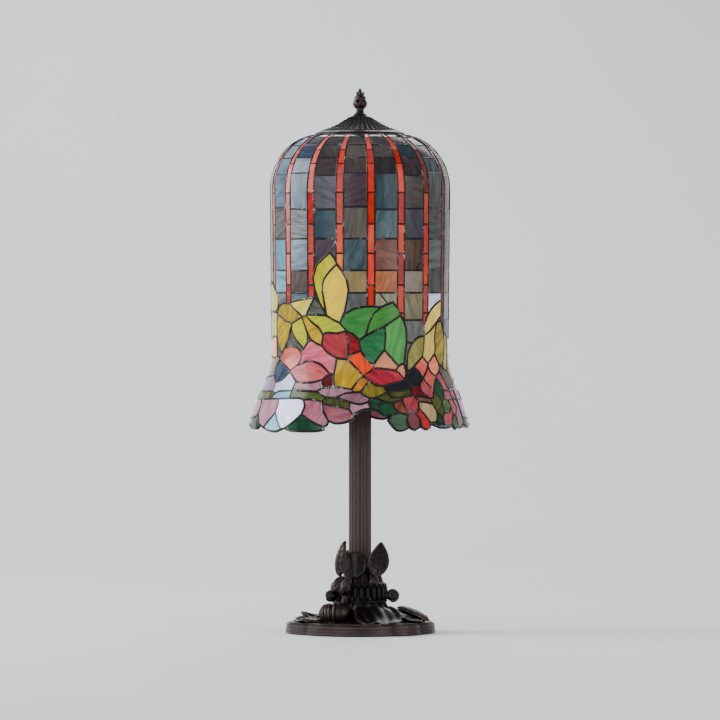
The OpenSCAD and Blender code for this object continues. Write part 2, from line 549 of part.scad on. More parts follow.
// Everything below one stretch of the rim, seen square on; its flanks fall away from its ends
module below_stretch(from, to) {
    stretch = [for (p = skirt_rim) if (p[0] >= from && p[0] <= to) p];
    first = stretch[0];
    last = stretch[len(stretch) - 1];
    radial_punch((from + to) / 2) polygon(flatten(concat(
        [[from - 1.5, 270], [from - 1.5, first[1] - 12], first - [0.2, 0]],
        stretch,
        [last + [0.2, 0], [to + 1.5, last[1] - 12], [to + 1.5, 270]]
    ), (from + to) / 2));
}

module half_lattice(tint) {
    color(tint) difference() {
        faceted_wall(rim_z - 3, rows_end, -90, 90, came_proud, came_inside);
        for (pane = lily_band)
            radial_punch(middle(pane[1])) pane_shape(pane[1], middle(pane[1]), came_w / 2);
        for (cell = tile_cells) radial_punch(middle(cell)) cell_shape(cell, came_w / 2);
        for (cell = ribbon_cells) radial_punch(middle(cell)) cell_shape(cell, came_w / 2);
        for (i = [0:len(rim_stretches) - 2])
            below_stretch(rim_stretches[i], rim_stretches[i + 1]);
    }
}

module came_front() half_lattice("dimgray");
module came_back() rotate([0, 0, 180]) half_lattice("gray");

// ---- Fittings at the top of the shade -------------------------------------------------

// A washer or ring between two heights
module ring(r_in, r_out, low, high) {
    translate([0, 0, low]) difference() {
        cylinder(r = r_out, h = high - low);
        translate([0, 0, -1]) cylinder(r = r_in, h = high - low + 2);
    }
}

module shade_ring() {
    color("goldenrod") ring(57.5, 65.4, wheel_top, shade_top_z);
}

module shade_wheel() {
    color("goldenrod") {
        ring(pipe_r + 0.07, 9, wheel_top - 5, wheel_top);
        ring(55.5, 60.4, wheel_top - 3, wheel_top);
        for (a = [30:120:270]) rotate([0, 0, a])
            translate([8, -4, wheel_top - 3]) cube([48.5, 8, 3]);
    }
}

module hex_nut(r, low, high, bore) {
    translate([0, 0, low]) difference() {
        cylinder(r = r, h = high - low, $fn = 6);
        translate([0, 0, -1]) cylinder(r = bore, h = high - low + 2);
    }
}

module wheel_nuts() {
    color("silver") {
        hex_nut(9, wheel_top - 10, wheel_top - 5.2, pipe_r);
        hex_nut(9, wheel_top + 0.2, wheel_top + 4.2, pipe_r);
    }
}

module vent_cap() {
    color("#3c2d2a") rotate_extrude() polygon(cap_profile);
}

module cap_washer() {
    color("goldenrod") ring(3.4, 6.4, cap_top, cap_top + 0.7);
}

module finial() {
    color("#3c2d2a") rotate_extrude() polygon(finial_profile);
}

module finial_stud() {
    color("goldenrod") {
        translate([0, 0, wheel_top + 4.5]) cylinder(r = pipe_r, h = 6);
        translate([0, 0, wheel_top + 10]) cylinder(r = 3.08, h = 39.5);
    }
}

// ---- Lamp holders ---------------------------------------------------------------------

// Places a lamp holder's parts: its own Z axis runs out of the mouth of the socket
module at_holder(side) {
    translate([side * holder_x, 0, holder_z]) rotate([0, side * holder_tilt, 0]) children();
}

module cluster_body() {
    color("goldenrod") difference() {
        union() {
            translate([0, 0, 470.5]) cylinder(r = 15, h = 22);
            for (side = sides) at_holder(side) translate([0, 0, -20]) cylinder(r = 8, h = 19.8);
        }
        translate([0, 0, 460]) cylinder(r = pipe_r, h = 60);
    }
}

// A metal shell with the housing of its pull switch on the front
module socket(side) {
    color("darkgoldenrod") difference() {
        union() {
            at_holder(side) cylinder(r = 17, h = socket_h);
            translate([side * chain_x, chain_y + 13, holder_z + 6]) rotate([90, 0, 0])
                cylinder(r = 6, h = 19);
        }
        at_holder(side) translate([0, 0, 2.5]) cylinder(r = 15.8, h = socket_h);
        at_holder(side) translate([0, 0, -1]) cylinder(r = 4, h = 5);
        translate([side * chain_x, chain_y, holder_z - 1]) cylinder(r = 1.6, h = 8);
    }
}

module socket_liner(side) {
    color("antiquewhite") at_holder(side) ring(14.4, 15.7, 3, socket_h - 1);
}

module socket_contact(side) {
    color("peru") at_holder(side) {
        translate([0, 0, 2.6]) cylinder(r = 13, h = 5);
        translate([0, 0, 7.6]) cylinder(r = 4, h = 8);
    }
}

module bulb_base(side) {
    color("silver") at_holder(side) {
        translate([0, 0, 20]) cylinder(r = 13, h = bulb_seat - 20);
        translate([0, 0, 16]) cylinder(r1 = 4.5, r2 = 10, h = 4);
    }
}

module bulb_glass(side) {
    color("ivory") at_holder(side) translate([0, 0, bulb_seat]) rotate_extrude()
        polygon(bulb_profile);
}

module pull_chain(side) {
    color("goldenrod") translate([side * chain_x, chain_y, 0]) {
        translate([0, 0, chain_top - chain_len]) cylinder(r = 0.7, h = chain_len);
        for (z = [chain_top - 8:-4:chain_top - chain_len]) translate([0, 0, z])
            sphere(r = 1.5, $fn = 24);
        translate([0, 0, chain_top - chain_len - 14]) cylinder(r1 = 4.2, r2 = 1.8, h = 15);
    }
}

module socket_left() socket(-1);
module socket_right() socket(1);
module liner_left() socket_liner(-1);
module liner_right() socket_liner(1);
module contact_left() socket_contact(-1);
module contact_right() socket_contact(1);
module bulb_base_left() bulb_base(-1);
module bulb_base_right() bulb_base(1);
module bulb_glass_left() bulb_glass(-1);
module bulb_glass_right() bulb_glass(1);
module pull_chain_left() pull_chain(-1);
module pull_chain_right() pull_chain(1);

// ---- Stem -----------------------------------------------------------------------------

module stem() {
    color("#3c2d2a") translate([0, 0, base_top]) linear_extrude(stem_top_z - base_top)
        difference() {
            union() {
                circle(r = stem_r - 1.3);
                for (k = [0:reed_count - 1]) rotate([0, 0, k * 360 / reed_count])
                    translate([stem_r - 2.6, 0]) circle(r = 2.6, $fn = 24);
            }
            circle(r = 11);
        }
}

module stem_foot_ring() {
    color("#2c2220") rotate_extrude() polygon([
        [stem_r + 0.1, 98], [18.8, 98], [19.4, 100], [18.2, 102], [18.6, 104], [17.4, 106],
        [stem_r + 0.1, 106.5]
    ]);
}

module stem_cap() {
    color("#3c2d2a") ring(pipe_r, 19, stem_top_z, stem_top_z + 4);
    color("#3c2d2a") ring(pipe_r, 13, stem_top_z + 4, 470);
}

module lamp_pipe() {
    color("silver") ring(3.2, pipe_r, 5, wheel_top + 4.4);
}

// ---- Base -----------------------------------------------------------------------------

// Lobes of the lily-pad plate: the angles where two lobes meet, from the front towards +X
lobe_breaks = [-98, -49, 27, 58, 110, 165, 215, 262];
notch_r = base_r - 6;

// Distance of a lobe's centre from the axis, so that it meets its neighbours at notch_r
function lobe_centre(half) =
    (base_r * base_r - notch_r * notch_r) / (2 * (base_r - notch_r * cos(half)));

// The plate's outline, moved in by some distance all round
module lobed_outline(step_in) {
    circle(r = notch_r - 6 - step_in);
    for (i = [0:len(lobe_breaks) - 2])
        let (
            half = (lobe_breaks[i + 1] - lobe_breaks[i]) / 2,
            centre = lobe_centre(half)
        )
            rotate([0, 0, lobe_breaks[i] + half - 90]) translate([centre, 0])
                circle(r = base_r - centre - step_in);
}

// Layers of the plate's grooved edge: [bottom, top, step in]
plate_layers = [
    [felt_t, 5.2, 0], [5.2, 5.9, 1.4], [5.9, 9.6, 0.6], [9.6, 10.3, 2], [10.3, 14.4, 1],
    [14.4, 15.4, 2], [15.4, base_top, 5]
];

module base_plate() {
    color("#3c2d2a") difference() {
        for (layer = plate_layers)
            translate([0, 0, layer[0]]) linear_extrude(layer[1] - layer[0])
                lobed_outline(layer[2]);
        cylinder(r = 88, h = 13.5);
        cylinder(r = pipe_r + 0.2, h = 30);
        translate([0, 80, 7.6]) rotate([-90, 0, 0]) cylinder(r = 4.9, h = 40);
        translate([0, 107.4, 7.6]) rotate([-90, 0, 0]) cylinder(r = 6.1, h = 10);
    }
}

module base_weight() {
    color("dimgray") ring(22, 84, 2, 13);
}

module base_washer() {
    color("silver") ring(pipe_r, 15, 11.6, 13.5);
}

module base_nut() {
    color("silver") hex_nut(10, 6, 11.6, pipe_r);
}

module cord_bushing() {
    color("#181818") translate([0, 0, 7.6]) rotate([-90, 0, 0]) difference() {
        union() {
            translate([0, 0, 86]) cylinder(r = 4.8, h = 24);
            translate([0, 0, 107.5]) cylinder(r = 6, h = 2.5);
        }
        translate([0, 0, 80]) cylinder(r = 3.6, h = 40);
    }
}

module felt_pad() {
    color("#1d3a2a") linear_extrude(felt_t) difference() {
        lobed_outline(3);
        circle(r = 11);
    }
}

// The core that the pads, leaves and buds stand against
module mound_core() {
    rotate_extrude() polygon(mound_profile);
}

module lily_mound() {
    color("#3c2d2a") mound_core();
}

module collar_shape() {
    translate([2, 0, 0]) {
        for (a = [0:15:345]) rotate([0, 0, a]) translate([35.5, 0, 47])
            cylinder(r = 3, h = 20, $fn = 24);
        ring(30, 37, 44, 48);
        ring(28, 37, 66, 70);
    }
}

module reeded_collar() {
    color("#3c2d2a") difference() {
        collar_shape();
        mound_core();
    }
}

// Room that the ring at the foot of the stem takes
module ring_space() {
    translate([0, 0, 97]) cylinder(r = 19.5, h = 10.5);
}

// Everything below the top of the base plate
module below_plate_top() {
    cylinder(r = base_r + 10, h = base_top);
}

// Round pads: one stands up facing the front, the rest lie on the plate or curl over it
module round_pad(r, thick) {
    rotate_extrude() polygon([[0, 0], [r - 2, 0], [r, thick / 2], [r - 1, thick], [0, thick + 1]]);
}

module pads_shape() {
    translate([-11, -19.5, 97]) rotate([80, 0, 0]) round_pad(19, 4);
    translate([-38, -38, base_top]) rotate_extrude() polygon([[0, 0], [22, 0], [22, 14],
        [16, 24], [7, 29], [0, 30]]);
    translate([21, -70, base_top]) rotate([-6, 0, 0]) round_pad(30, 5);
    translate([50, -40, base_top]) rotate_extrude() polygon([[0, 0], [8, 0], [7.4, 8], [4, 13],
        [0, 14]]);
    translate([74, -18, base_top + 3]) rotate([0, -18, 0]) round_pad(19, 4);
    translate([-76, -20, base_top + 2]) rotate([0, 15, 0]) round_pad(18, 4);
    translate([-30, 60, base_top + 2]) rotate([8, 0, 0]) round_pad(28, 4);
    translate([40, 56, base_top + 2]) rotate([6, 0, 0]) round_pad(24, 4);
    translate([14, 25, 88]) rotate([-80, 0, 0]) round_pad(18, 4);
}

module lily_pads() {
    color("#3c2d2a") difference() {
        pads_shape();
        mound_core();
        ring_space();
        collar_shape();
        below_plate_top();
    }
}

// A flat leaf: two arcs that meet in points, length along Y, standing up from its lower point
module leaf_plate(length, width, thick) {
    r = (length * length + width * width) / (4 * width);
    rotate([90, 0, 0]) translate([0, length / 2, -thick / 2]) linear_extrude(thick)
        intersection() {
            translate([r - width / 2, 0]) circle(r = r);
            translate([width / 2 - r, 0]) circle(r = r);
        }
}

// Pointed leaves round the mound: [angle, radius, foot height, length, width, lean]
leaf_places = [
    [38, 24, 86, 46, 29, 14], [-42, 24, 88, 46, 15, 4], [-62, 38, 52, 46, 26, 20],
    [100, 26, 74, 48, 24, 12], [165, 26, 74, 58, 26, 6], [-150, 27, 72, 46, 24, 12]
];

module leaves_shape() {
    for (leaf = leaf_places)
        rotate([0, 0, leaf[0]]) translate([0, -leaf[1], leaf[2]]) rotate([leaf[5], 0, 0])
            leaf_plate(leaf[3], leaf[4], 4);
}

module pointed_leaves() {
    color("#3c2d2a") difference() {
        leaves_shape();
        mound_core();
        collar_shape();
        pads_shape();
        ring_space();
    }
}

// Buds against the mound: [angle, radius, height, scale, lean]
buds = [
    [-38, 38, 67, 1, 14], [-72, 44, 54, 0.9, 30], [84, 50, 54, 0.9, 30], [140, 42, 60, 1, 25],
    [-120, 44, 56, 0.95, 25]
];

module lotus_buds() {
    color("#3c2d2a") difference() {
        for (bud = buds)
            rotate([0, 0, bud[0]]) translate([0, -bud[1], bud[2]]) rotate([bud[4], 0, 0])
                scale(bud[3]) rotate_extrude() polygon(bud_profile);
        mound_core();
        collar_shape();
        pads_shape();
        leaves_shape();
    }
}

felt_pad();
base_plate();
base_weight();
base_washer();
base_nut();
cord_bushing();
lily_mound();
lily_pads();
pointed_leaves();
lotus_buds();
reeded_collar();
stem();
stem_foot_ring();
stem_cap();
lamp_pipe();
finial_stud();
cluster_body();
socket_left();
socket_right();
liner_left();
liner_right();
contact_left();
contact_right();
bulb_base_left();
bulb_base_right();
bulb_glass_left();
bulb_glass_right();
pull_chain_left();
pull_chain_right();
shade_wheel();
wheel_nuts();
shade_ring();
came_drum();
came_front();
came_back();
ribbon_glass();
dome_tile_glass();
drum_tile_glass();
green_leaf_glass();
yellow_leaf_glass();
pink_petal_glass();
red_petal_glass();
pale_petal_glass();
olive_band_glass();
shadow_glass();
vent_cap();
cap_washer();
finial();
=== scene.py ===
import colorsys
import json
import math
import random

import bpy
import numpy as np
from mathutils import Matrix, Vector
from mathutils.geometry import delaunay_2d_cdt


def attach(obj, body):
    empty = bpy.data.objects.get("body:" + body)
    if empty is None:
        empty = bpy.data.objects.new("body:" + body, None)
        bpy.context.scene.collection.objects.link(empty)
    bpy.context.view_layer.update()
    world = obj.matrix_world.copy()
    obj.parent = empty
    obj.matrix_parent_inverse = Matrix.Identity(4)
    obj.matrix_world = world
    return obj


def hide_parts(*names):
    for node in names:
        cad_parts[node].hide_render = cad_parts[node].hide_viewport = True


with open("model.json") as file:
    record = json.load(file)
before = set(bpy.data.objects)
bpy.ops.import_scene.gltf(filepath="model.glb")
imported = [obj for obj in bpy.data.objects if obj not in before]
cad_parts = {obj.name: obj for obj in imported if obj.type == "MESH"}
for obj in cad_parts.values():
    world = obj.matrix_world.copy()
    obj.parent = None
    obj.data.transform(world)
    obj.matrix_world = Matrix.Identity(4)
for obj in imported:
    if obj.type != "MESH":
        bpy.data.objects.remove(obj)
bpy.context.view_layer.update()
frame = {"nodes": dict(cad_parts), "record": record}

# One half-turn of the water-lily band: each pane is a colour and its outline as
# [angle from the front in degrees, height in mm]. The other half-turn repeats it.
LILY_BAND = [
    ["lime", [[-90, 500], [-80, 506], [-69, 492], [-66, 478], [-68, 468], [-73, 463],
        [-90, 466]]],
    ["mustard", [[-67, 461], [-65, 470], [-60, 475.5], [-51.5, 476], [-46, 466], [-40.5, 457],
        [-49.5, 447.5], [-57, 450.5]]],
    ["cream", [[-51.5, 476], [-44, 480.5], [-31, 484.5], [-34, 472], [-37, 459], [-40.5, 457],
        [-46, 466]]],
    ["ochre", [[-67, 461], [-57, 450.5], [-49.5, 447.5], [-51.5, 438], [-54, 424], [-58, 411],
        [-61.5, 404.5], [-66, 414], [-69, 432], [-69, 450]]],
    ["lime", [[-40.5, 457], [-49.5, 447.5], [-49.5, 436], [-46, 424], [-39, 411], [-36, 421],
        [-36, 433], [-38.5, 446]]],
    ["mustard", [[-40.5, 457], [-37, 459], [-33, 450], [-27.5, 441], [-24.5, 431], [-25.5, 416],
        [-29, 418.5], [-33.5, 424], [-36, 433], [-38.5, 446]]],
    ["lime", [[-37, 459], [-30, 460], [-22, 458.5], [-17.5, 452.5], [-13, 448], [-9, 437],
        [-15, 433.5], [-22.5, 434], [-24.5, 431], [-27.5, 441], [-33, 450]]],
    ["grey", [[-51.5, 438], [-49.5, 447.5], [-49.5, 436], [-46, 424], [-39, 411], [-41.5, 407],
        [-46, 413.5], [-53, 414.5], [-58, 411], [-54, 424]]],
    ["lime", [[-19.5, 548], [-23, 542], [-29, 530], [-31.5, 512], [-30, 495], [-27, 477],
        [-22, 458.5], [-23.5, 477], [-24.8, 494], [-24, 508], [-20.5, 520], [-15, 532],
        [-17, 541]]],
    ["yellow", [[-15, 532], [-20.5, 520], [-24, 508], [-24.8, 494], [-23.5, 477], [-22, 458.5],
        [-17.5, 452.5], [-13, 448], [-10, 464], [-8.5, 480], [-7.5, 495], [-8.5, 508],
        [-11.5, 521]]],
    ["grey", [[-31, 484.5], [-27, 477], [-22, 458.5], [-30, 460], [-37, 459], [-34, 472]]],
    ["green", [[-13, 448], [-10, 460], [-4.5, 467.5], [2, 471], [8, 471.5], [13, 470], [9, 462],
        [6.5, 452], [5, 441], [3.5, 430], [-0.5, 423], [-4, 431], [-9, 437]]],
    ["green", [[13, 470], [17, 474], [21.5, 477.5], [25, 468], [27, 459.5], [20, 449],
        [16, 443], [9.5, 437], [3.5, 430], [5, 441], [6.5, 452], [9, 462]]],
    ["teal", [[-0.5, 423], [3.5, 430], [9.5, 437], [16, 443], [16.5, 430], [16, 410],
        [12.5, 401], [8.5, 388], [4.5, 395.5], [0.5, 409]]],
    ["green", [[27, 459.5], [29.5, 450], [31, 438], [31.3, 421], [30.5, 408], [29.5, 390],
        [27.5, 389.5], [25, 386.5], [21, 397], [16, 410], [16.5, 430], [16, 443], [20, 449]]],
    ["peach", [[16, 410], [12.5, 401], [8.5, 388], [8.5, 384.5], [16, 383], [23, 380.5],
        [25, 386.5], [21, 397]]],
    ["peach", [[27.5, 389.5], [25, 386.5], [23, 380.5], [24.5, 378], [28.5, 367.5], [30, 376],
        [29.5, 390]]],
    ["red", [[-22.5, 434], [-15, 433.5], [-9, 437], [-8, 425], [-7.5, 410], [-7.8, 396.5],
        [-15.5, 398], [-20.5, 404.5], [-25.5, 416], [-24.5, 431]]],
    ["red", [[-9, 437], [-4, 431], [-0.5, 423], [0.5, 409], [-3.5, 405.5], [-7.7, 401],
        [-7.5, 410], [-8, 425]]],
    ["orange", [[0.5, 409], [4.5, 395.5], [8.5, 388], [8.5, 384.5], [7, 380.5], [2, 372.5],
        [-4, 388], [-7.8, 396.5], [-7.7, 401], [-3.5, 405.5]]],
    ["red", [[8.5, 384.5], [7, 380.5], [2, 372.5], [5.5, 366.5], [9.5, 360], [14, 358.5],
        [20, 362.5], [25, 365], [28.5, 367.5], [24.5, 378], [23, 380.5], [16, 383]]],
    ["coral", [[-58, 411], [-53, 414.5], [-46, 413.5], [-41.5, 407], [-41, 397], [-43.5, 388.5],
        [-50, 379], [-56, 386.5], [-63.5, 396.5]]],
    ["pink", [[-36, 421], [-33.5, 424], [-29, 418.5], [-25.5, 416], [-20.5, 404.5],
        [-15.5, 398], [-15.8, 388], [-16.5, 374.5], [-19.5, 376], [-25, 387.5], [-31, 393],
        [-36.5, 393.5], [-43.5, 388.5], [-41, 397], [-41.5, 407], [-39, 411]]],
    ["rose", [[-50, 379], [-43.5, 388.5], [-36.5, 393.5], [-31, 393], [-25, 387.5],
        [-19.5, 376], [-23.5, 367.5], [-29, 364], [-36, 363], [-42, 366.5], [-46.5, 373]]],
    ["maroon", [[-19.5, 376], [-16.5, 374.5], [-15.5, 358], [-22.5, 356], [-23.5, 367.5]]],
    ["mauve", [[-42, 364], [-36, 363], [-29, 364], [-23.5, 367.5], [-22.5, 356], [-26, 350.5],
        [-32, 351.5], [-40, 352.5], [-43, 356]]],
    ["mustard", [[-15.5, 398], [-7.8, 396.5], [-4, 388], [2, 372.5], [-0.5, 369], [-5, 353.5],
        [-9, 355.5], [-15.5, 358], [-16.5, 374.5], [-15.8, 388]]],
    ["amber", [[2, 372.5], [5.5, 366.5], [0.5, 350.5], [-3.5, 350], [-5, 353.5], [-0.5, 369]]],
    ["ochre", [[5.5, 366.5], [9.5, 360], [14, 358.5], [16, 350], [9, 342], [5.5, 341.5],
        [1.5, 346.5], [0.5, 350.5]]],
    ["slate", [[14, 358.5], [20, 362.5], [25, 365], [28.5, 367.5], [32, 357.5], [27, 352.5],
        [21, 351.5], [16, 350]]],
    ["slate", [[28.5, 367.5], [30, 376], [31.5, 377.5], [36.5, 385.5], [40, 379], [42.5, 369.5],
        [38.5, 361], [32, 357.5]]],
    ["khaki", [[46, 430], [40, 426.5], [35.5, 418.5], [32.5, 405], [31.5, 390], [31.5, 377.5],
        [36.5, 385.5], [40.5, 393], [44.5, 400.5], [45.5, 415]]],
    ["grey", [[31.3, 421], [35.5, 418.5], [32.5, 405], [31.5, 390], [31.5, 377.5], [30, 376],
        [29.5, 390], [30.5, 408]]],
    ["cream", [[65, 481], [58, 474.5], [52.5, 466.5], [48.5, 456], [46, 443], [46, 430],
        [52.5, 437.5], [59, 448.5], [65, 458]]],
    ["cream", [[46, 430], [52.5, 437.5], [59, 448.5], [57, 430], [57.5, 412], [57, 404],
        [49, 389.5], [44.5, 400.5], [45.5, 415]]],
    ["ochre", [[59, 448.5], [66, 450], [69.5, 436], [71, 418], [70, 400], [67, 383], [61, 391],
        [57, 404], [57.5, 412], [57, 430]]],
    ["khaki", [[69.5, 436], [76, 428], [78, 400], [74, 378], [67, 383], [70, 400], [71, 418]]],
    ["peach", [[57, 404], [61, 391], [60.5, 379.5], [54.5, 371.5], [50, 379.5], [49, 389.5]]],
    ["coral", [[44.5, 400.5], [40.5, 393], [36.5, 385.5], [40, 379], [42.5, 369.5],
        [46.5, 379.5], [49, 389.5]]],
    ["coral", [[49, 389.5], [46.5, 379.5], [42.5, 369.5], [44, 363.5], [48.5, 352.5],
        [50.5, 360], [54.5, 371.5], [50, 379.5]]],
    ["rose", [[42.5, 369.5], [44, 363.5], [48.5, 352.5], [46, 341.5], [43.5, 340.5],
        [38.5, 351], [38.5, 361]]],
    ["maroon", [[32, 357.5], [38.5, 361], [38.5, 351], [43.5, 340.5], [38, 343.5], [33, 342.5],
        [30.5, 349]]],
    ["deepgreen", [[54.5, 371.5], [57, 364], [58, 352.5], [56, 339.5], [53.5, 338],
        [48.5, 352.5], [50.5, 360]]],
    ["pink", [[54.5, 371.5], [60.5, 379.5], [62.5, 368], [65.5, 350.5], [58, 352.5],
        [57, 364]]],
    ["pink", [[58, 352.5], [65.5, 350.5], [66, 340], [60, 337.5], [56, 339.5]]],
    ["sage", [[56, 339.5], [60, 337.5], [61, 328], [57, 320], [52.5, 321], [52, 330],
        [53.5, 338]]],
    ["olive", [[48.5, 352.5], [53.5, 338], [52, 330], [52.5, 321], [50, 313], [46, 322],
        [44.5, 333], [43.5, 340.5], [46, 341.5]]],
    ["tan", [[34.5, 336], [39, 335.5], [44.5, 333], [46, 322], [45.5, 314], [44, 306.5],
        [40, 306.5], [37, 318], [34, 327]]],
    ["brown", [[33, 342.5], [38, 343.5], [43.5, 340.5], [44.5, 333], [39, 335.5], [34.5, 336]]],
    ["rose", [[24.5, 339.5], [30, 344.5], [33, 342.5], [34.5, 336], [34, 327], [32, 319.5],
        [28, 323], [25, 331]]],
    ["olive", [[16, 350], [21, 351.5], [27, 352.5], [32, 357.5], [30.5, 349], [33, 342.5],
        [30, 344.5], [24.5, 342], [18, 342.5]]],
    ["olive", [[9, 342], [16, 350], [18, 342.5], [24.5, 342], [24.5, 339.5], [19, 334.5],
        [14, 336]]],
    ["brown", [[19, 334.5], [24.5, 339.5], [25, 331], [28, 323], [26.5, 317.5], [21.5, 321],
        [18.5, 329]]],
    ["maroon", [[26.5, 317.5], [28, 323], [32, 319.5], [33.5, 311], [33, 300], [30, 296],
        [27.5, 299], [25.5, 309]]],
    ["red", [[34, 327], [37, 318], [40, 306.5], [39.5, 299], [37, 296.5], [34.5, 300],
        [33.5, 311], [32, 319.5]]],
    ["deepgreen", [[17, 318], [21.5, 321], [26.5, 317.5], [25.5, 309], [26, 299], [23.5, 296],
        [20, 295.5], [17.5, 301], [15, 310]]],
    ["deepgreen", [[10.5, 334], [14, 336], [19, 334.5], [18.5, 329], [21.5, 321], [17, 318],
        [13, 316.5], [9.5, 324]]],
    ["deepgreen", [[4.5, 336.5], [5.5, 341.5], [9, 342], [14, 336], [10.5, 334], [9.5, 324],
        [6, 327]]],
    ["mauve", [[-13.5, 342.5], [-8.5, 348.5], [-3.5, 350], [0.5, 350.5], [1.5, 346.5],
        [5.5, 341.5], [4.5, 336.5], [0, 333], [-6, 336]]],
    ["mauve", [[-26, 350.5], [-22.5, 356], [-15.5, 358], [-9, 355.5], [-5, 353.5], [-3.5, 350],
        [-8.5, 348.5], [-13.5, 342.5], [-20, 342.5]]],
    ["mauve", [[-6, 336], [0, 333], [4.5, 336.5], [6, 327], [1, 325], [-4, 318], [-6, 326]]],
    ["olive", [[-21.5, 337], [-20, 342.5], [-13.5, 342.5], [-6, 336], [-6, 326], [-12, 329.5],
        [-21, 333.5]]],
    ["olive", [[-43.5, 347], [-40, 352.5], [-32, 351.5], [-26, 350.5], [-20, 342.5],
        [-21.5, 337], [-29, 339.5], [-36, 341], [-43, 341]]],
    ["skyblue", [[-58, 347], [-55, 350.5], [-43, 351.5], [-43.5, 347], [-43, 341], [-52, 339.5],
        [-60, 339.5]]],
    ["olive", [[-90, 349], [-72, 350], [-61, 350.5], [-58, 347], [-60, 339.5], [-74, 338.5],
        [-90, 338]]],
    ["white", [[-50, 379], [-55, 368], [-61.5, 362], [-61, 350.5], [-55, 350.5], [-43, 351.5],
        [-43, 356], [-42, 364], [-46.5, 373]]],
    ["lavender", [[-74, 371.5], [-67, 372], [-61.5, 362], [-61, 350.5], [-72, 350], [-90, 349],
        [-90, 368]]],
    ["slateblue", [[-63.5, 396.5], [-56, 386.5], [-50, 379], [-55, 368], [-61.5, 362],
        [-67, 372], [-69, 384]]],
    ["peach", [[-90, 425], [-77, 428], [-70, 428], [-69, 412], [-69, 400], [-74, 397.5],
        [-90, 400]]],
    ["tan", [[-90, 400], [-74, 397.5], [-69, 400], [-63.5, 396.5], [-69, 384], [-67, 372],
        [-74, 371.5], [-90, 368]]],
    ["grey", [[-70, 428], [-69, 432], [-66, 414], [-61.5, 404.5], [-58, 411], [-63.5, 396.5],
        [-69, 400], [-69, 412]]],
    ["khaki", [[-73, 463], [-67, 461], [-69, 450], [-69, 432], [-70, 428], [-77, 428],
        [-90, 425], [-90, 466]]],
    ["blush", [[-90, 338], [-74, 338.5], [-69.5, 334], [-69, 318], [-73, 313], [-90, 310]]],
    ["deepgreen", [[-73, 313], [-69, 318], [-65, 303], [-67, 297], [-75, 297], [-83, 301],
        [-90, 303], [-90, 310]]],
    ["blush", [[-69.5, 334], [-74, 338.5], [-60, 339.5], [-52, 339.5], [-51, 333], [-51.5, 320],
        [-57, 307], [-60.5, 298.5], [-65, 303], [-69, 318]]],
    ["aqua", [[-51.5, 320], [-57, 307], [-60.5, 298.5], [-55.5, 294.5], [-49.5, 293.5],
        [-45, 297], [-47, 304]]],
    ["white", [[-51, 333], [-52, 339.5], [-43, 341], [-36, 341], [-33, 338.5], [-31.5, 330],
        [-32.5, 318.5], [-37, 307.5], [-42, 299], [-45, 297], [-47, 304], [-51.5, 320]]],
    ["deepgreen", [[-32.5, 318.5], [-37, 307.5], [-42, 299], [-41, 296], [-33, 294.5],
        [-24, 294.5], [-19, 297], [-19.5, 301], [-26, 308.5]]],
    ["dustyrose", [[-33, 338.5], [-29, 339.5], [-21.5, 337], [-21, 333.5], [-20.5, 325],
        [-17, 310], [-17.5, 304], [-19.5, 301], [-26, 308.5], [-32.5, 318.5], [-31.5, 330]]],
    ["dustyrose", [[-21, 333.5], [-12, 329.5], [-6, 326], [-4, 318], [-4, 312], [-8, 307.5],
        [-13, 306], [-17, 310], [-20.5, 325]]],
    ["deepgreen", [[46, 322], [50, 313], [50.5, 303], [46, 303], [44, 306.5], [45.5, 314]]],
    ["pink", [[52.5, 321], [57, 320], [61, 328], [61, 318], [58, 303], [50.5, 303], [50, 313]]],
    ["sage", [[61, 318], [64, 316], [65, 300], [61.5, 296.5], [58, 303]]],
    ["pink", [[60, 337.5], [66, 340], [68, 327], [64, 316], [61, 318], [61, 328]]],
    ["mauve", [[66, 340], [73, 338], [73, 305], [69, 298], [65, 300], [64, 316], [68, 327]]],
    ["pink", [[65.5, 350.5], [73, 352], [73, 338], [66, 340]]],
    ["taupe", [[60.5, 379.5], [61, 391], [67, 383], [74, 378], [78, 362], [73, 352],
        [65.5, 350.5], [62.5, 368]]],
    ["khaki", [[76, 428], [90, 425], [90, 400], [78, 400]]],
    ["tan", [[78, 400], [90, 400], [90, 368], [78, 362], [74, 378]]],
    ["blush", [[73, 352], [78, 362], [90, 368], [90, 349], [90, 338], [73, 338]]],
    ["mauve", [[73, 338], [90, 338], [90, 310], [73, 313]]],
    ["sage", [[73, 313], [90, 310], [90, 303], [81, 298], [73, 305]]],
]

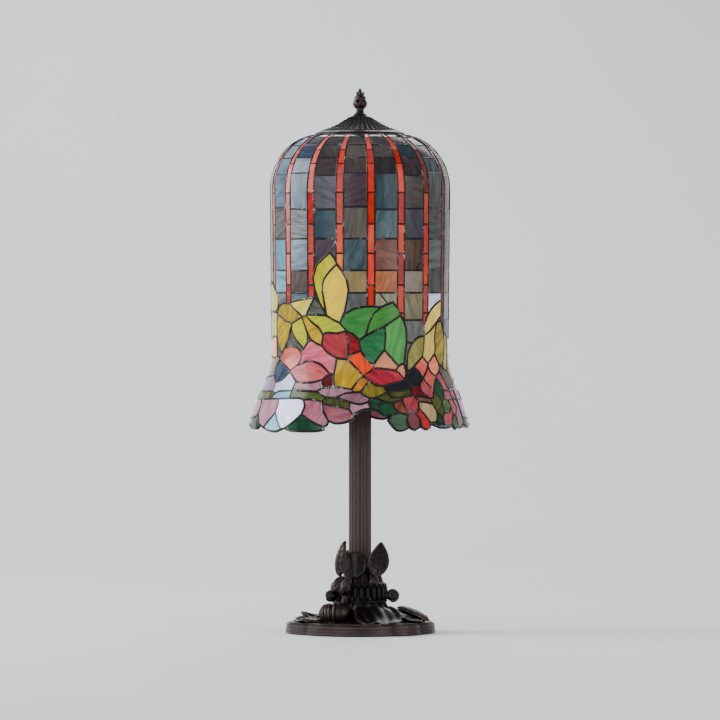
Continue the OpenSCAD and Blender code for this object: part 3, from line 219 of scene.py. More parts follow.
# Colours of the glass by name: main tint, streak tint and wisp tint, as sRGB out of 255
PALETTE = {
    "lime": ((190, 182, 10), (158, 154, 8), (214, 206, 60)),
    "mustard": ((188, 158, 32), (144, 114, 18), (212, 186, 66)),
    "cream": ((236, 216, 100), (216, 184, 64), (244, 234, 160)),
    "ochre": ((158, 136, 32), (114, 96, 24), (188, 166, 66)),
    "yellow": ((240, 188, 0), (224, 172, 2), (244, 208, 40)),
    "grey": ((92, 90, 84), (60, 60, 58), (132, 130, 122)),
    "green": ((70, 150, 58), (44, 120, 48), (118, 176, 98)),
    "teal": ((52, 116, 66), (34, 88, 54), (92, 146, 92)),
    "peach": ((244, 156, 120), (226, 126, 96), (250, 188, 158)),
    "red": ((160, 28, 38), (116, 16, 28), (192, 66, 62)),
    "orange": ((226, 78, 42), (196, 48, 28), (238, 120, 74)),
    "coral": ((218, 106, 90), (192, 76, 72), (236, 156, 136)),
    "pink": ((192, 90, 98), (160, 58, 74), (222, 150, 156)),
    "rose": ((176, 70, 76), (140, 42, 54), (206, 122, 118)),
    "dustyrose": ((166, 98, 112), (136, 70, 88), (196, 138, 146)),
    "maroon": ((104, 24, 32), (70, 14, 22), (140, 54, 56)),
    "mauve": ((158, 106, 120), (126, 80, 98), (190, 146, 158)),
    "amber": ((194, 120, 16), (156, 88, 12), (220, 164, 58)),
    "slate": ((28, 32, 36), (16, 18, 22), (56, 62, 66)),
    "khaki": ((170, 158, 82), (138, 124, 58), (200, 190, 120)),
    "sage": ((84, 120, 64), (54, 90, 44), (130, 156, 100)),
    "olive": ((84, 90, 32), (56, 62, 24), (124, 124, 58)),
    "brown": ((124, 72, 52), (86, 46, 36), (160, 108, 82)),
    "taupe": ((116, 96, 80), (84, 70, 60), (150, 130, 110)),
    "deepgreen": ((24, 76, 42), (14, 52, 32), (56, 112, 66)),
    "skyblue": ((136, 180, 206), (100, 148, 184), (190, 214, 228)),
    "white": ((214, 218, 236), (182, 190, 218), (240, 240, 248)),
    "lavender": ((172, 142, 166), (146, 112, 142), (206, 184, 206)),
    "slateblue": ((52, 68, 86), (32, 44, 60), (92, 110, 126)),
    "tan": ((166, 132, 88), (132, 112, 80), (192, 166, 122)),
    "blush": ((184, 130, 148), (158, 98, 120), (214, 172, 188)),
    "aqua": ((112, 168, 178), (78, 134, 150), (170, 204, 206)),
    "stormy": ((70, 78, 86), (42, 48, 56), (114, 122, 126)),
    "charcoal": ((48, 46, 46), (34, 34, 36), (70, 68, 68)),
    "umbra": ((66, 56, 52), (46, 42, 42), (92, 84, 80)),
    "plum": ((68, 52, 56), (48, 40, 46), (92, 80, 84)),
    "inkteal": ((40, 60, 68), (30, 44, 52), (70, 94, 98)),
    "inkblue": ((52, 64, 86), (38, 46, 62), (82, 96, 116)),
    "heather": ((84, 80, 90), (60, 60, 68), (120, 116, 124)),
    "taupegrey": ((88, 80, 74), (66, 62, 60), (118, 112, 102)),
    "steel": ((104, 126, 140), (72, 92, 108), (160, 178, 186)),
    "dusk": ((86, 66, 74), (58, 44, 54), (124, 104, 108)),
    "deepteal": ((74, 96, 98), (44, 66, 76), (116, 148, 154)),
    "smoke": ((98, 100, 96), (68, 70, 70), (142, 144, 138)),
    "umber": ((84, 66, 54), (56, 44, 38), (126, 106, 88)),
    "beige": ((148, 142, 112), (114, 110, 88), (178, 172, 140)),
    "paleblue": ((124, 138, 142), (84, 100, 112), (172, 184, 182)),
    "tealtile": ((88, 140, 152), (58, 106, 124), (150, 182, 184)),
    "rosewood": ((122, 82, 72), (92, 60, 56), (156, 118, 102)),
    "russet": ((156, 98, 58), (120, 72, 48), (182, 138, 92)),
    "pinkgrey": ((150, 128, 116), (114, 108, 94), (180, 164, 150)),
    "ribbon": ((218, 48, 20), (196, 32, 14), (228, 78, 40)),
    "ribbonred": ((174, 22, 24), (148, 14, 20), (200, 50, 44)),
    "ribboncoral": ((206, 72, 56), (180, 48, 42), (226, 120, 98)),
    # painted light: the ribbon red washed paler, as the lit left side shows it
    "ribbonpale": ((206, 96, 80), (184, 70, 62), (226, 142, 122)),
    "ribbonamber": ((226, 122, 22), (206, 90, 18), (238, 158, 60)),
    # painted shade: the ribbon red darkened, as the shaded right side shows it
    "ribbon_painted_shade": ((124, 52, 44), (94, 34, 34), (152, 82, 70)),
}

# Which CAD node a colour's glass belongs to
NODE_COLOURS = {
    "green_leaf_glass": ("green", "teal", "deepgreen", "sage"),
    "yellow_leaf_glass": ("yellow", "lime", "mustard", "amber"),
    "pink_petal_glass": ("pink", "rose", "blush", "mauve", "dustyrose"),
    "red_petal_glass": ("red", "maroon", "orange", "coral", "peach"),
    "pale_petal_glass": ("white", "lavender", "cream", "skyblue", "aqua"),
    "olive_band_glass": ("olive", "ochre", "khaki", "brown", "taupe", "tan"),
    "shadow_glass": ("slate", "slateblue", "grey"),
}
NODE_OF_COLOUR = {c: node for node, colours in NODE_COLOURS.items() for c in colours}

# Colours of the drum's lower tiles by column, for the rows 523-568, 491-523, 452-491 and 418-452
TILE_TINTS = {
    -83: ("stormy", "smoke", "paleblue", "beige"),
    -63: ("tealtile", "tealtile", "smoke", "beige"),
    -43: ("paleblue", "umber", "deepteal", "taupe"),
    -23: ("dusk", "dusk", "umber", "taupe"),
    -3: ("deepteal", "tan", "smoke", "grey"),
    17: ("rosewood", "russet", "beige", "grey"),
    37: ("umber", "pinkgrey", "beige", "smoke"),
    57: ("smoke", "smoke", "white", "smoke"),
    77: ("stormy", "smoke", "paleblue", "smoke"),
}
# Colours of the tiles above them by column, from the top row down
UPPER_TINTS = {
    -83: ("stormy", "stormy", "stormy", "steel", "steel", "stormy"),
    -63: ("inkteal", "steel", "steel", "steel", "steel", "smoke"),
    -43: ("charcoal", "stormy", "inkblue", "steel", "steel", "smoke"),
    -23: ("charcoal", "charcoal", "charcoal", "umbra", "heather", "inkteal"),
    -3: ("charcoal", "umbra", "umbra", "umbra", "plum", "taupegrey"),
    17: ("charcoal", "charcoal", "umbra", "charcoal", "inkteal", "deepteal"),
    37: ("umbra", "charcoal", "inkteal", "plum", "taupegrey", "heather"),
    57: ("charcoal", "umbra", "charcoal", "stormy", "smoke", "smoke"),
    77: ("charcoal", "charcoal", "umbra", "smoke", "smoke", "stormy"),
}

# Colours of the ribbons' pieces by angle, from the top down. The paler ribbon colour on the left
# side is painted light, and the darker one on the right side is painted shade.
RIBBON_COLOURS = {"p": "ribbonpale", "c": "ribboncoral", "o": "ribbon", "r": "ribbonred",
                  "a": "ribbonamber", "d": "ribbon_painted_shade"}
RIBBON_TINTS = {
    -73: "ppppppppp", -53: "ppppppprp", -33: "pppprcccc", -13: "ccorooaro", 7: "coooocooo",
    27: "oooororoo", 47: "cdddcccpp", 67: "ddddddddd", 87: "ddddddddd",
}

# ---- Shade surface ----------------------------------------------------------------------

MM = 0.001
UP = Vector((0, 0, 1))
DRUM_R = 129.5
DOME_Z = 640.0
TOP_Z = 718.5
LOW_Z = 286.0
GLASS_T = 3.0


def smooth_step(x):
    """From 0 to 1 with a soft start and end, as x goes from 0 to 1."""
    x = min(1.0, max(0.0, x))
    return x * x * (3 - 2 * x)


def wall_r(z):
    """Radius of the glass's outer face at height z, in mm, before the skirt's own waves."""
    if z > DOME_Z:
        return 58 + 71.5 * math.sqrt(max(0.0, 1 - ((z - DOME_Z) / 79) ** 2))
    return DRUM_R - 2.2 * min(1.0, (DOME_Z - z) / 210) + 33 * smooth_step((402 - z) / 109)


STEP_Z = 0.25
PROFILE_Z = [LOW_Z + STEP_Z * i for i in range(int((TOP_Z - LOW_Z) / STEP_Z) + 1)]
PROFILE_R = [wall_r(z) for z in PROFILE_Z]
PROFILE_T = [0.0]
for i in range(1, len(PROFILE_Z)):
    PROFILE_T.append(PROFILE_T[-1] + math.hypot(STEP_Z, PROFILE_R[i] - PROFILE_R[i - 1]))


def t_of_z(z):
    """Length along the profile from its lowest point up to height z."""
    return float(np.interp(z, PROFILE_Z, PROFILE_T))


def z_of_t(t):
    """Height of the point at that length along the profile."""
    return float(np.interp(t, PROFILE_T, PROFILE_Z))


TOP_T = t_of_z(TOP_Z)


def skirt_wave(theta, z):
    """How far the skirt stands out from the plain flare: less on the right, soft petal swells."""
    flare = smooth_step((402 - z) / 109)
    a = math.radians(theta)
    arch = math.exp(-((theta - 2) / 13.0) ** 2) + math.exp(-((abs(theta) - 180 + 2) / 13.0) ** 2)
    return flare * (-2.1 * (1 + math.sin(a)) + 0.9 * math.sin(9 * a + 0.6) - 2.4 * arch)


def on_wall(theta, t, out=0.0):
    """The point at that angle and profile length, moved out along the wall's normal, in mm."""
    z = z_of_t(t)
    slope_z = 0.6
    z0, z1 = max(LOW_Z, z - slope_z), min(TOP_Z, z + slope_z)
    n = Vector((z1 - z0, wall_r(z0) - wall_r(z1))).normalized()
    r = wall_r(z) + skirt_wave((theta + 180) % 360 - 180, z) + n.x * out
    a = math.radians(theta)
    return Vector((r * math.sin(a), -r * math.cos(a), z + n.y * out))


def wall_normal(theta, t):
    """The wall's outward normal."""
    return (on_wall(theta, t, 1.0) - on_wall(theta, t)).normalized()


# ---- Plan of the shade: which pane lies where -------------------------------------------

FLAT = math.radians(1) * DRUM_R          # mm of plan width for each degree
HALF = 90.0                               # degrees to either side of the front
COLUMNS = [-83 + 20 * k for k in range(10)]    # middle angles of the columns of tiles
RIBBON_HALF = 2.42
COLUMN_HALF = 10 - RIBBON_HALF
DOME_ROWS = [TOP_Z, 714, 702, 684, 660, 611, 568]
TILE_ROWS = [568, 523, 491, 452, 418]
RIBBON_ROWS = [TOP_Z, 713, 695, 675, 634, 589, 547, 502, 462, 436]


def plan(theta, z):
    """The place in the flat plan of a point of the shade, in mm."""
    return (theta * FLAT, t_of_z(z))


class Pane:
    """A pane of the plan: its outline, its colour and the CAD node it belongs to.

    A tile or a ribbon's piece also has the angle of its column and its row in it.
    """

    def __init__(self, outline, colour, node, column=None, row=0):
        self.outline, self.colour, self.node = outline, colour, node
        self.column, self.row = column, row


def cell(middle, half, low, high, colour, node, row):
    """A pane between two heights, round the middle angle of its column."""
    left, right = max(-HALF, middle - half), min(HALF, middle + half)
    return Pane([[left, low], [right, low], [right, high], [left, high]], colour, node,
                middle, row)


panes = [Pane(outline, name, NODE_OF_COLOUR[name]) for name, outline in LILY_BAND]
flower_count = len(panes)


def row_line(k, i):
    """Height of a line between two of the upper rows; a little uneven from column to column."""
    return DOME_ROWS[i] + (2.2 * math.sin(2.3 * k + i) if i in (4, 5) else 0)


for k, column in enumerate(COLUMNS):
    turned_column = column if column in TILE_TINTS else COLUMNS[0]
    for row, colour in enumerate(UPPER_TINTS[turned_column]):
        node = "dome_tile_glass" if DOME_ROWS[row] > DOME_Z else "drum_tile_glass"
        panes.append(cell(column, COLUMN_HALF, row_line(k, row + 1), row_line(k, row),
                          colour, node, row))
    for row, colour in enumerate(TILE_TINTS[turned_column]):
        panes.append(cell(column, COLUMN_HALF, TILE_ROWS[row + 1], TILE_ROWS[row],
                          colour, "drum_tile_glass", len(DOME_ROWS) - 1 + row))
for column, letters in RIBBON_TINTS.items():
    for row, letter in enumerate(letters):
        panes.append(cell(column, RIBBON_HALF, RIBBON_ROWS[row + 1], RIBBON_ROWS[row],
                          RIBBON_COLOURS[letter], "ribbon_glass", row))


def signed_area(points):
    """Area of a polygon, positive when its points run anticlockwise."""
    return sum(a[0] * b[1] - b[0] * a[1] for a, b in zip(points, points[1:] + points[:1])) / 2


def triangulate(points, edges, faces):
    """Constrained triangles over the points: vertices, triangles and the input faces of each."""
    found = delaunay_2d_cdt([Vector(p) for p in points], edges, faces, 0, 1e-4, True)
    verts, triangles, sources = found[0], found[2], found[5]
    return [(v.x, v.y) for v in verts], triangles, sources


def edge_map(triangles):
    """Every edge, as an ordered pair of vertices, with the triangles on it."""
    edges = {}
    for i, tri in enumerate(triangles):
        for a, b in zip(tri, tri[1:] + tri[:1]):
            edges.setdefault((min(a, b), max(a, b)), []).append(i)
    return edges


def flood(count, links):
    """Connected groups of count items, given pairs of linked items: a group number for each."""
    near = [[] for _ in range(count)]
    for a, b in links:
        near[a].append(b)
        near[b].append(a)
    group = [-1] * count
    current = 0
    for start in range(count):
        if group[start] < 0:
            group[start] = current
            stack = [start]
            while stack:
                for j in near[stack.pop()]:
                    if group[j] < 0:
                        group[j] = current
                        stack.append(j)
            current += 1
    return group


def first_plan():
    """Triangles of the rough plan with the pane that owns each; small gaps join a neighbour."""
    points, faces = [], []
    for pane in panes:
        outline = [plan(*p) for p in pane.outline]
        if signed_area(outline) < 0:
            outline.reverse()
        faces.append(list(range(len(points), len(points) + len(outline))))
        points += outline
    corners = [(-HALF * FLAT, 0), (HALF * FLAT, 0), (HALF * FLAT, TOP_T), (-HALF * FLAT, TOP_T)]
    points += corners
    verts, triangles, sources = triangulate(points, [], faces)
    owner = [min(s) if s else -1 for s in sources]
    edges = edge_map(triangles)
    links = [t for t in edges.values() if len(t) == 2 and owner[t[0]] == owner[t[1]] == -1]
    group = flood(len(triangles), links)
    outside = {group[i] for i, tri in enumerate(triangles)
               if owner[i] == -1 and any(verts[v][1] < 0.01 for v in tri)}
    gaps = {}
    for (a, b), pair in edges.items():
        for i, j in (pair, pair[::-1]) if len(pair) == 2 else ():
            if owner[i] == -1 and group[i] not in outside and owner[j] >= 0:
                shares = gaps.setdefault(group[i], {})
                length = math.dist(verts[a], verts[b])
                shares[owner[j]] = shares.get(owner[j], 0) + length
    for i in range(len(triangles)):
        if owner[i] == -1 and group[i] in gaps:
            owner[i] = max(gaps[group[i]], key=gaps[group[i]].get)
    return verts, triangles, owner


def chains_of(edge_list):
    """Runs of edges between the vertices where other than two edges meet."""
    near = {}
    for a, b in edge_list:
        near.setdefault(a, []).append(b)
        near.setdefault(b, []).append(a)
    used, chains = set(), []

    def walk(a, b):
        chain = [a, b]
        used.add((min(a, b), max(a, b)))
        while len(near[chain[-1]]) == 2:
            last, before = chain[-1], chain[-2]
            following = near[last][0] if near[last][0] != before else near[last][1]
            key = (min(last, following), max(last, following))
            if key in used:
                break
            used.add(key)
            chain.append(following)
        return chain

    for start in sorted(near):
        if len(near[start]) != 2:
            for b in sorted(near[start]):
                if (min(start, b), max(start, b)) not in used:
                    chains.append(walk(start, b))
    for a, b in sorted((min(e), max(e)) for e in edge_list):
        if (a, b) not in used:
            chains.append(walk(a, b))
    return chains


def spline_point(p0, p1, p2, p3, t):
    """Catmull-Rom point between p1 and p2."""
    return tuple(
        0.5 * (2 * b + (c - a) * t + (2 * a - 5 * b + 4 * c - d) * t * t
               + (3 * b - a - 3 * c + d) * t ** 3)
        for a, b, c, d in zip(p0, p1, p2, p3)
    )


CORNER = math.radians(52)
SAMPLE = 3.4                # mm between the points of an outline
GRID = 5.2                  # mm between the points inside a pane
CLEAR = 2.2                 # mm between those and the outlines' points
BIN = 4                     # mm, the bins in which the outlines' points are looked up
TOP_STEPS = 120             # steps along the top edge of the half-turn


def turn(a, b, c):
    """How far the line a-b-c bends at b, in radians."""
    u, v = (b[0] - a[0], b[1] - a[1]), (c[0] - b[0], c[1] - b[1])
    return abs(math.atan2(u[0] * v[1] - u[1] * v[0], u[0] * v[0] + u[1] * v[1]))


def smoothed(points):
    """The chain with its soft bends rounded and its sharp corners kept, evenly sampled."""
    closed = points[0] == points[-1]
    out = [points[0]]
    last = len(points) - 1
    for i in range(last):
        p1, p2 = points[i], points[i + 1]
        before = points[i - 1] if i > 0 else (points[-2] if closed else None)
        after = points[i + 2] if i + 2 <= last else (points[1] if closed else None)
        if before is None or turn(before, p1, p2) > CORNER:
            before = tuple(2 * a - b for a, b in zip(p1, p2))
        if after is None or turn(p1, p2, after) > CORNER:
            after = tuple(2 * b - a for a, b in zip(p1, p2))
        length = math.dist(p1, p2)
        for far, near_point, other in ((before, p1, p2), (after, p2, p1)):
            reach = math.dist(far, near_point)
            if reach > 1.5 * length:
                scale = 1.5 * length / reach
                moved = tuple(n + (f - n) * scale for f, n in zip(far, near_point))
                if near_point == p1:
                    before = moved
                else:
                    after = moved
        steps = max(1, round(length / SAMPLE))
        out += [spline_point(before, p1, p2, after, s / steps) for s in range(1, steps)]
        out.append(p2)
    return out


rough_verts, rough_triangles, rough_owner = first_plan()
ROUGH = np.array([[rough_verts[v] for v in tri] for tri in rough_triangles])


def side_lines(points, width):
    """Where the points on the half-turn's two sides and the even steps between them lie."""
    marks = sorted({0.0, TOP_T} | {
        round(y, 3) for x, y in points if abs(abs(x) - width) < 1e-2})
    heights = []
    for low, high in zip(marks, marks[1:]):
        steps = max(1, round((high - low) / SAMPLE))
        heights += [low + (high - low) * s / steps for s in range(steps)]
    heights.append(TOP_T)
    top = [(-width + 2 * width * i / TOP_STEPS, TOP_T) for i in range(TOP_STEPS + 1)]
    return [[(x, h) for h in heights] for x in (-width, width)] + [top]


def grid_points(points, width):
    """A staggered grid over the half-turn, without what lies close to the outlines' points."""
    cells = {}
    for p in points:
        cells.setdefault((int(p[0] // BIN), int(p[1] // BIN)), []).append(p)

    def crowded(x, y):
        return any(
            (x - q[0]) ** 2 + (y - q[1]) ** 2 < CLEAR ** 2
            for i in (-1, 0, 1) for j in (-1, 0, 1)
            for q in cells.get((int(x // BIN) + i, int(y // BIN) + j), ())
        )

    rows = int(TOP_T / (GRID * 0.866))
    found = []
    for j in range(1, rows + 1):
        y = TOP_T * j / (rows + 1)
        for i in range(int(2 * width / GRID)):
            x = -width + GRID * (i + 0.5 * (j % 2) + 0.25)
            if abs(x) < width - 2 and not crowded(x, y):
                found.append((x, y))
    return found


def rough_pane_at(spot):
    """The pane of the rough plan under a point, or -1."""
    a, b, c = ROUGH[:, 0], ROUGH[:, 1], ROUGH[:, 2]
    hit = np.ones(len(ROUGH), bool)
    for p, q in ((a, b), (b, c), (c, a)):
        hit &= ((q[:, 0] - p[:, 0]) * (spot[1] - p[:, 1])
                - (q[:, 1] - p[:, 1]) * (spot[0] - p[:, 0])) >= -1e-6
    hits = np.nonzero(hit)[0]
    return rough_owner[hits[0]] if len(hits) else -1


def region_owners(verts, triangles, walls):
    """The pane of each triangle: every region between the walls asks its largest triangles."""
    links = [pair for e, pair in edge_map(triangles).items() if len(pair) == 2 and e not in walls]
    members = {}
    for i, group in enumerate(flood(len(triangles), links)):
        corners = [verts[v] for v in triangles[i]]
        members.setdefault(group, []).append((abs(signed_area(corners)), i, corners))
    owner = [-1] * len(triangles)
    for items in members.values():
        items.sort(key=lambda m: -m[0])
        votes = {}
        for area, _, corners in items[:7]:
            name = rough_pane_at([sum(p[k] for p in corners) / 3 for k in (0, 1)])
            votes[name] = votes.get(name, 0) + area
        name = max(votes, key=votes.get)
        for _, i, _ in items:
            owner[i] = name
    return owner


def second_plan():
    """Finer triangles of the half-turn along the smoothed outlines, with each one's pane."""
    points, edges, index = [], [], {}
    width = HALF * FLAT

    def add_line(line):
        """Adds the points that are new, and the edges between them all."""
        found = []
        for p in line:
            key = (round(p[0], 3), round(p[1], 3))
            if key not in index:
                index[key] = len(points)
                points.append(p)
            found.append(index[key])
        edges.extend((a, b) for a, b in zip(found, found[1:]) if a != b)

    borders = [e for e, pair in edge_map(rough_triangles).items()
               if len(pair) == 2 and rough_owner[pair[0]] != rough_owner[pair[1]]]
    for chain in chains_of(borders):
        add_line(smoothed([rough_verts[i] for i in chain]))
    for line in side_lines(points, width):
        add_line(line)
    verts, triangles, _ = triangulate(points + grid_points(points, width), edges, [])
    where = {}
    for i, v in enumerate(verts):
        where.setdefault((round(v[0], 2), round(v[1], 2)), i)
    walls = set()
    for edge in edges:
        ends = [where.get((round(points[i][0], 2), round(points[i][1], 2))) for i in edge]
        if None not in ends:
            walls.add((min(ends), max(ends)))
    return verts, triangles, region_owners(verts, triangles, walls)


half_verts, half_triangles, half_owner = second_plan()

# Panes on the right of the half-turn that run on into a pane on the left of the next one
RUNS_ON = {88: 69, 87: 68, 90: 72, 91: 73, 89: 66}
for i, pane in enumerate(panes):
    if pane.column == COLUMNS[-1]:
        RUNS_ON[i] = next(j for j, other in enumerate(panes)
                          if other.column == COLUMNS[0] and other.row == pane.row)


def full_plan():
    """Both half-turns joined at their sides: vertices as (angle, length), and triangles."""
    verts, index, triangles, owner = [], {}, [], []
    for turn_number in range(2):
        to_full = []
        for x, y in half_verts:
            theta = x / FLAT + 180 * turn_number
            key = (round(theta % 360, 3) % 360, round(y, 2))
            if key not in index:
                index[key] = len(verts)
                verts.append((theta, y))
            to_full.append(index[key])
        for tri, name in zip(half_triangles, half_owner):
            if name < 0:
                continue
            corners = [to_full[v] for v in tri]
            if len(set(corners)) < 3:
                continue
            turned = turn_number
            if name in RUNS_ON:
                name, turned = RUNS_ON[name], (turn_number + 1) % 2
            triangles.append(corners)
            owner.append((name, turned))
    return verts, triangles, owner


plan_verts, plan_triangles, plan_owner = full_plan()
plan_edges = edge_map(plan_triangles)
piece_of = flood(len(plan_triangles), [
    pair for pair in plan_edges.values()
    if len(pair) == 2 and plan_owner[pair[0]] == plan_owner[pair[1]]
])


def gap_angle(a, b):
    """Degrees from angle b to angle a, the short way round."""
    return (a - b + 180) % 360 - 180


# ---- Mesh helpers -----------------------------------------------------------------------

def linear(colour):
    """A linear colour from sRGB out of 255."""
    return tuple((c / 255 / 12.92) if c <= 10 else ((c / 255 + 0.055) / 1.055) ** 2.4
                 for c in colour)


def new_object(name, verts, faces, material, sharp=35):
    """A mesh object from points in metres, smooth but for edges sharper than that angle."""
    mesh = bpy.data.meshes.new(name)
    mesh.from_pydata([tuple(v) for v in verts], [], faces)
    mesh.validate()
    for p in mesh.polygons:
        p.use_smooth = True
    mesh.set_sharp_from_angle(angle=math.radians(sharp))
    obj = bpy.data.objects.new(name, mesh)
    bpy.context.scene.collection.objects.link(obj)
    mesh.materials.append(material)
    return obj


def place(obj, body, slot, *nodes):
    """Makes the object ride on its body, and stand for its CAD nodes."""
    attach(obj, body)
    if nodes:
        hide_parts(*nodes)
    return obj


# ---- Materials ---------------------------------------------------------------------------

class Shader:
    """A material with a Principled shader, and short calls to add nodes to it."""

    def __init__(self, name, **values):
        self.material = bpy.data.materials.new(name)
        self.material.use_nodes = True
        self.tree = self.material.node_tree
        self.shader = self.tree.nodes["Principled BSDF"]
        for key, value in values.items():
            self.put(self.shader.inputs[key.replace("_", " ")], value)

    def node(self, kind, **values):
        """A node; each value is a number, a socket to link, or a property of the node."""
        node = self.tree.nodes.new("ShaderNode" + kind)
        for key, value in values.items():
            if hasattr(node, key):
                setattr(node, key, value)
        for key, value in values.items():
            if not hasattr(node, key):
                self.put(node.inputs[key.replace("_", " ")], value)
        return node

    def put(self, socket, value):
        if isinstance(value, bpy.types.NodeSocket):
            self.tree.links.new(value, socket)
        elif isinstance(value, tuple) and len(value) == 3 and socket.type == "RGBA":
            socket.default_value = (*value, 1.0)
        else:
            socket.default_value = value

    def coords(self):
        return self.node("TexCoord").outputs["Object"]

    def noise(self, vector, scale, detail=3.0, roughness=0.5):
        return self.node("TexNoise", Vector=vector, Scale=scale, Detail=detail,
                         Roughness=roughness).outputs["Fac"]

    def ramp(self, factor, *stops):
        """A colour ramp from (place, colour) stops; a colour may be one number for grey."""
        node = self.node("ValToRGB", Fac=factor)
        elements = node.color_ramp.elements
        for i, (place_at, colour) in enumerate(stops):
            element = elements[i] if i < 2 else elements.new(place_at)
            element.position = place_at
            element.color = (*colour, 1) if isinstance(colour, tuple) else (colour,) * 3 + (1,)
        return node.outputs["Color"]

    def mix(self, factor, a, b, blend="MIX"):
        node = self.node("Mix", data_type="RGBA", blend_type=blend)
        self.put(node.inputs[0], factor)
        self.put(node.inputs[6], a)
        self.put(node.inputs[7], b)
        return node.outputs[2]

    def math(self, operation, a, b=0.0):
        node = self.node("Math", operation=operation)
        self.put(node.inputs[0], a)
        self.put(node.inputs[1], b)
        return node.outputs[0]

    def bump(self, height, strength, distance):
        bump = self.node("Bump", Height=height, Strength=strength, Distance=distance)
        self.put(self.shader.inputs["Normal"], bump.outputs["Normal"])

    def set(self, key, socket):
        self.put(self.shader.inputs[key], socket)


def glass_material(name):
    """Streaky opalescent sheet glass, tinted by what each piece stores about itself."""
    m = Shader(name, Roughness=0.15, IOR=1.42, Specular_IOR_Level=0.24)
    grain = m.node("Attribute", attribute_name="grain").outputs["Vector"]
    tints = [m.node("Attribute", attribute_name=f"tint_{k}").outputs["Color"] for k in "abc"]
    stretched = m.node("Mapping", Vector=grain, Scale=(0.35, 1.6, 1.0)).outputs["Vector"]
    drift = m.node("TexNoise", Vector=grain, Scale=0.04, Detail=2.0)
    warped = m.node("VectorMath", operation="MULTIPLY_ADD")
    m.put(warped.inputs[0], drift.outputs["Color"])
    warped.inputs[1].default_value = (9.0, 9.0, 0.0)
    m.put(warped.inputs[2], stretched)
    flow = warped.outputs["Vector"]
    streak = m.ramp(m.noise(flow, 0.085, 4.0, 0.55), (0.36, 0.0), (0.62, 1.0))
    wisp = m.ramp(m.noise(flow, 0.16, 5.0, 0.62), (0.60, 0.0), (0.86, 0.30))
    fleck = m.ramp(m.noise(grain, 1.1, 2.0, 0.5), (0.40, 0.90), (0.60, 1.06))
    colour = m.mix(streak, tints[0], tints[1])
    colour = m.mix(wisp, colour, tints[2])
    m.set("Base Color", m.mix(1.0, colour, fleck, "MULTIPLY"))
    ripple = m.math("ADD", m.noise(flow, 0.11, 2.0), m.math("MULTIPLY", m.noise(grain, 0.5), 0.25))
    m.bump(ripple, 0.5, 0.0006)
    return m.material


def bronze_material(name, dark=(13, 9, 8), warm=(27, 18, 16), pale=(70, 58, 55)):
    """Dark brown patina on cast bronze, rubbed lighter on what stands out."""
    m = Shader(name, Metallic=0.7, Roughness=0.34)
    at = m.coords()
    cloud = m.ramp(m.noise(at, 26.0, 5.0, 0.6), (0.34, 0.0), (0.68, 1.0))
    fine = m.noise(at, 420.0, 4.0, 0.6)
    edge = m.node("NewGeometry").outputs["Pointiness"]
    rubbed = m.ramp(m.math("ADD", edge, m.math("MULTIPLY", m.math("SUBTRACT", fine, 0.5), 0.03)),
                    (0.505, 0.0), (0.56, 0.75))
    hollow = m.ramp(edge, (0.40, 0.35), (0.50, 1.0))
    colour = m.mix(cloud, linear(dark), linear(warm))
    colour = m.mix(rubbed, colour, linear(pale))
    m.set("Base Color", m.mix(1.0, colour, hollow, "MULTIPLY"))
    m.set("Roughness", m.ramp(m.noise(at, 90.0, 4.0, 0.6), (0.3, 0.26), (0.7, 0.46)))
    m.bump(m.math("ADD", m.noise(at, 150.0, 4.0), m.math("MULTIPLY", fine, 0.4)), 0.32, 0.0007)
    return m.material


def solder_material():
    """Black patinated solder, worn to silver here and there."""
    m = Shader("solder", Metallic=0.6, Roughness=0.25)
    at = m.coords()
    worn = m.ramp(m.noise(at, 42.0, 4.0, 0.65), (0.56, 0.0), (0.68, 1.0))
    spots = m.ramp(m.noise(at, 520.0, 3.0, 0.6), (0.45, 0.0), (0.62, 1.0))
    colour = m.mix(m.math("MULTIPLY", worn, spots), linear((17, 15, 15)), linear((170, 170, 174)))
    m.set("Base Color", colour)
    m.set("Roughness", m.ramp(m.noise(at, 240.0, 3.0, 0.6), (0.35, 0.18), (0.65, 0.38)))
    m.bump(m.noise(at, 330.0, 3.0, 0.5), 0.35, 0.0005)
    return m.material


def plain_material(name, colour, tone=0.12, scale=180.0, bump=0.15, **values):
    """One colour with soft variation and a little grain."""
    m = Shader(name, **values)
    at = m.coords()
    low = tuple(c * (1 - tone) for c in linear(colour))
    high = tuple(min(1, c * (1 + tone)) for c in linear(colour))
    m.set("Base Color", m.ramp(m.noise(at, scale * 0.2, 4.0, 0.6), (0.35, low), (0.65, high)))
    m.bump(m.noise(at, scale, 3.0, 0.6), bump, 0.0004)
    return m.material


def felt_material():
    """Dark green felt."""
    m = Shader("felt", Roughness=0.95, Sheen_Weight=0.5, Sheen_Roughness=0.5)
    at = m.coords()
    fibres = m.noise(at, 900.0, 5.0, 0.75)
    m.set("Base Color", m.ramp(fibres, (0.35, linear((16, 40, 28))), (0.7, linear((36, 74, 54)))))
    m.bump(fibres, 0.7, 0.0008)
    return m.material


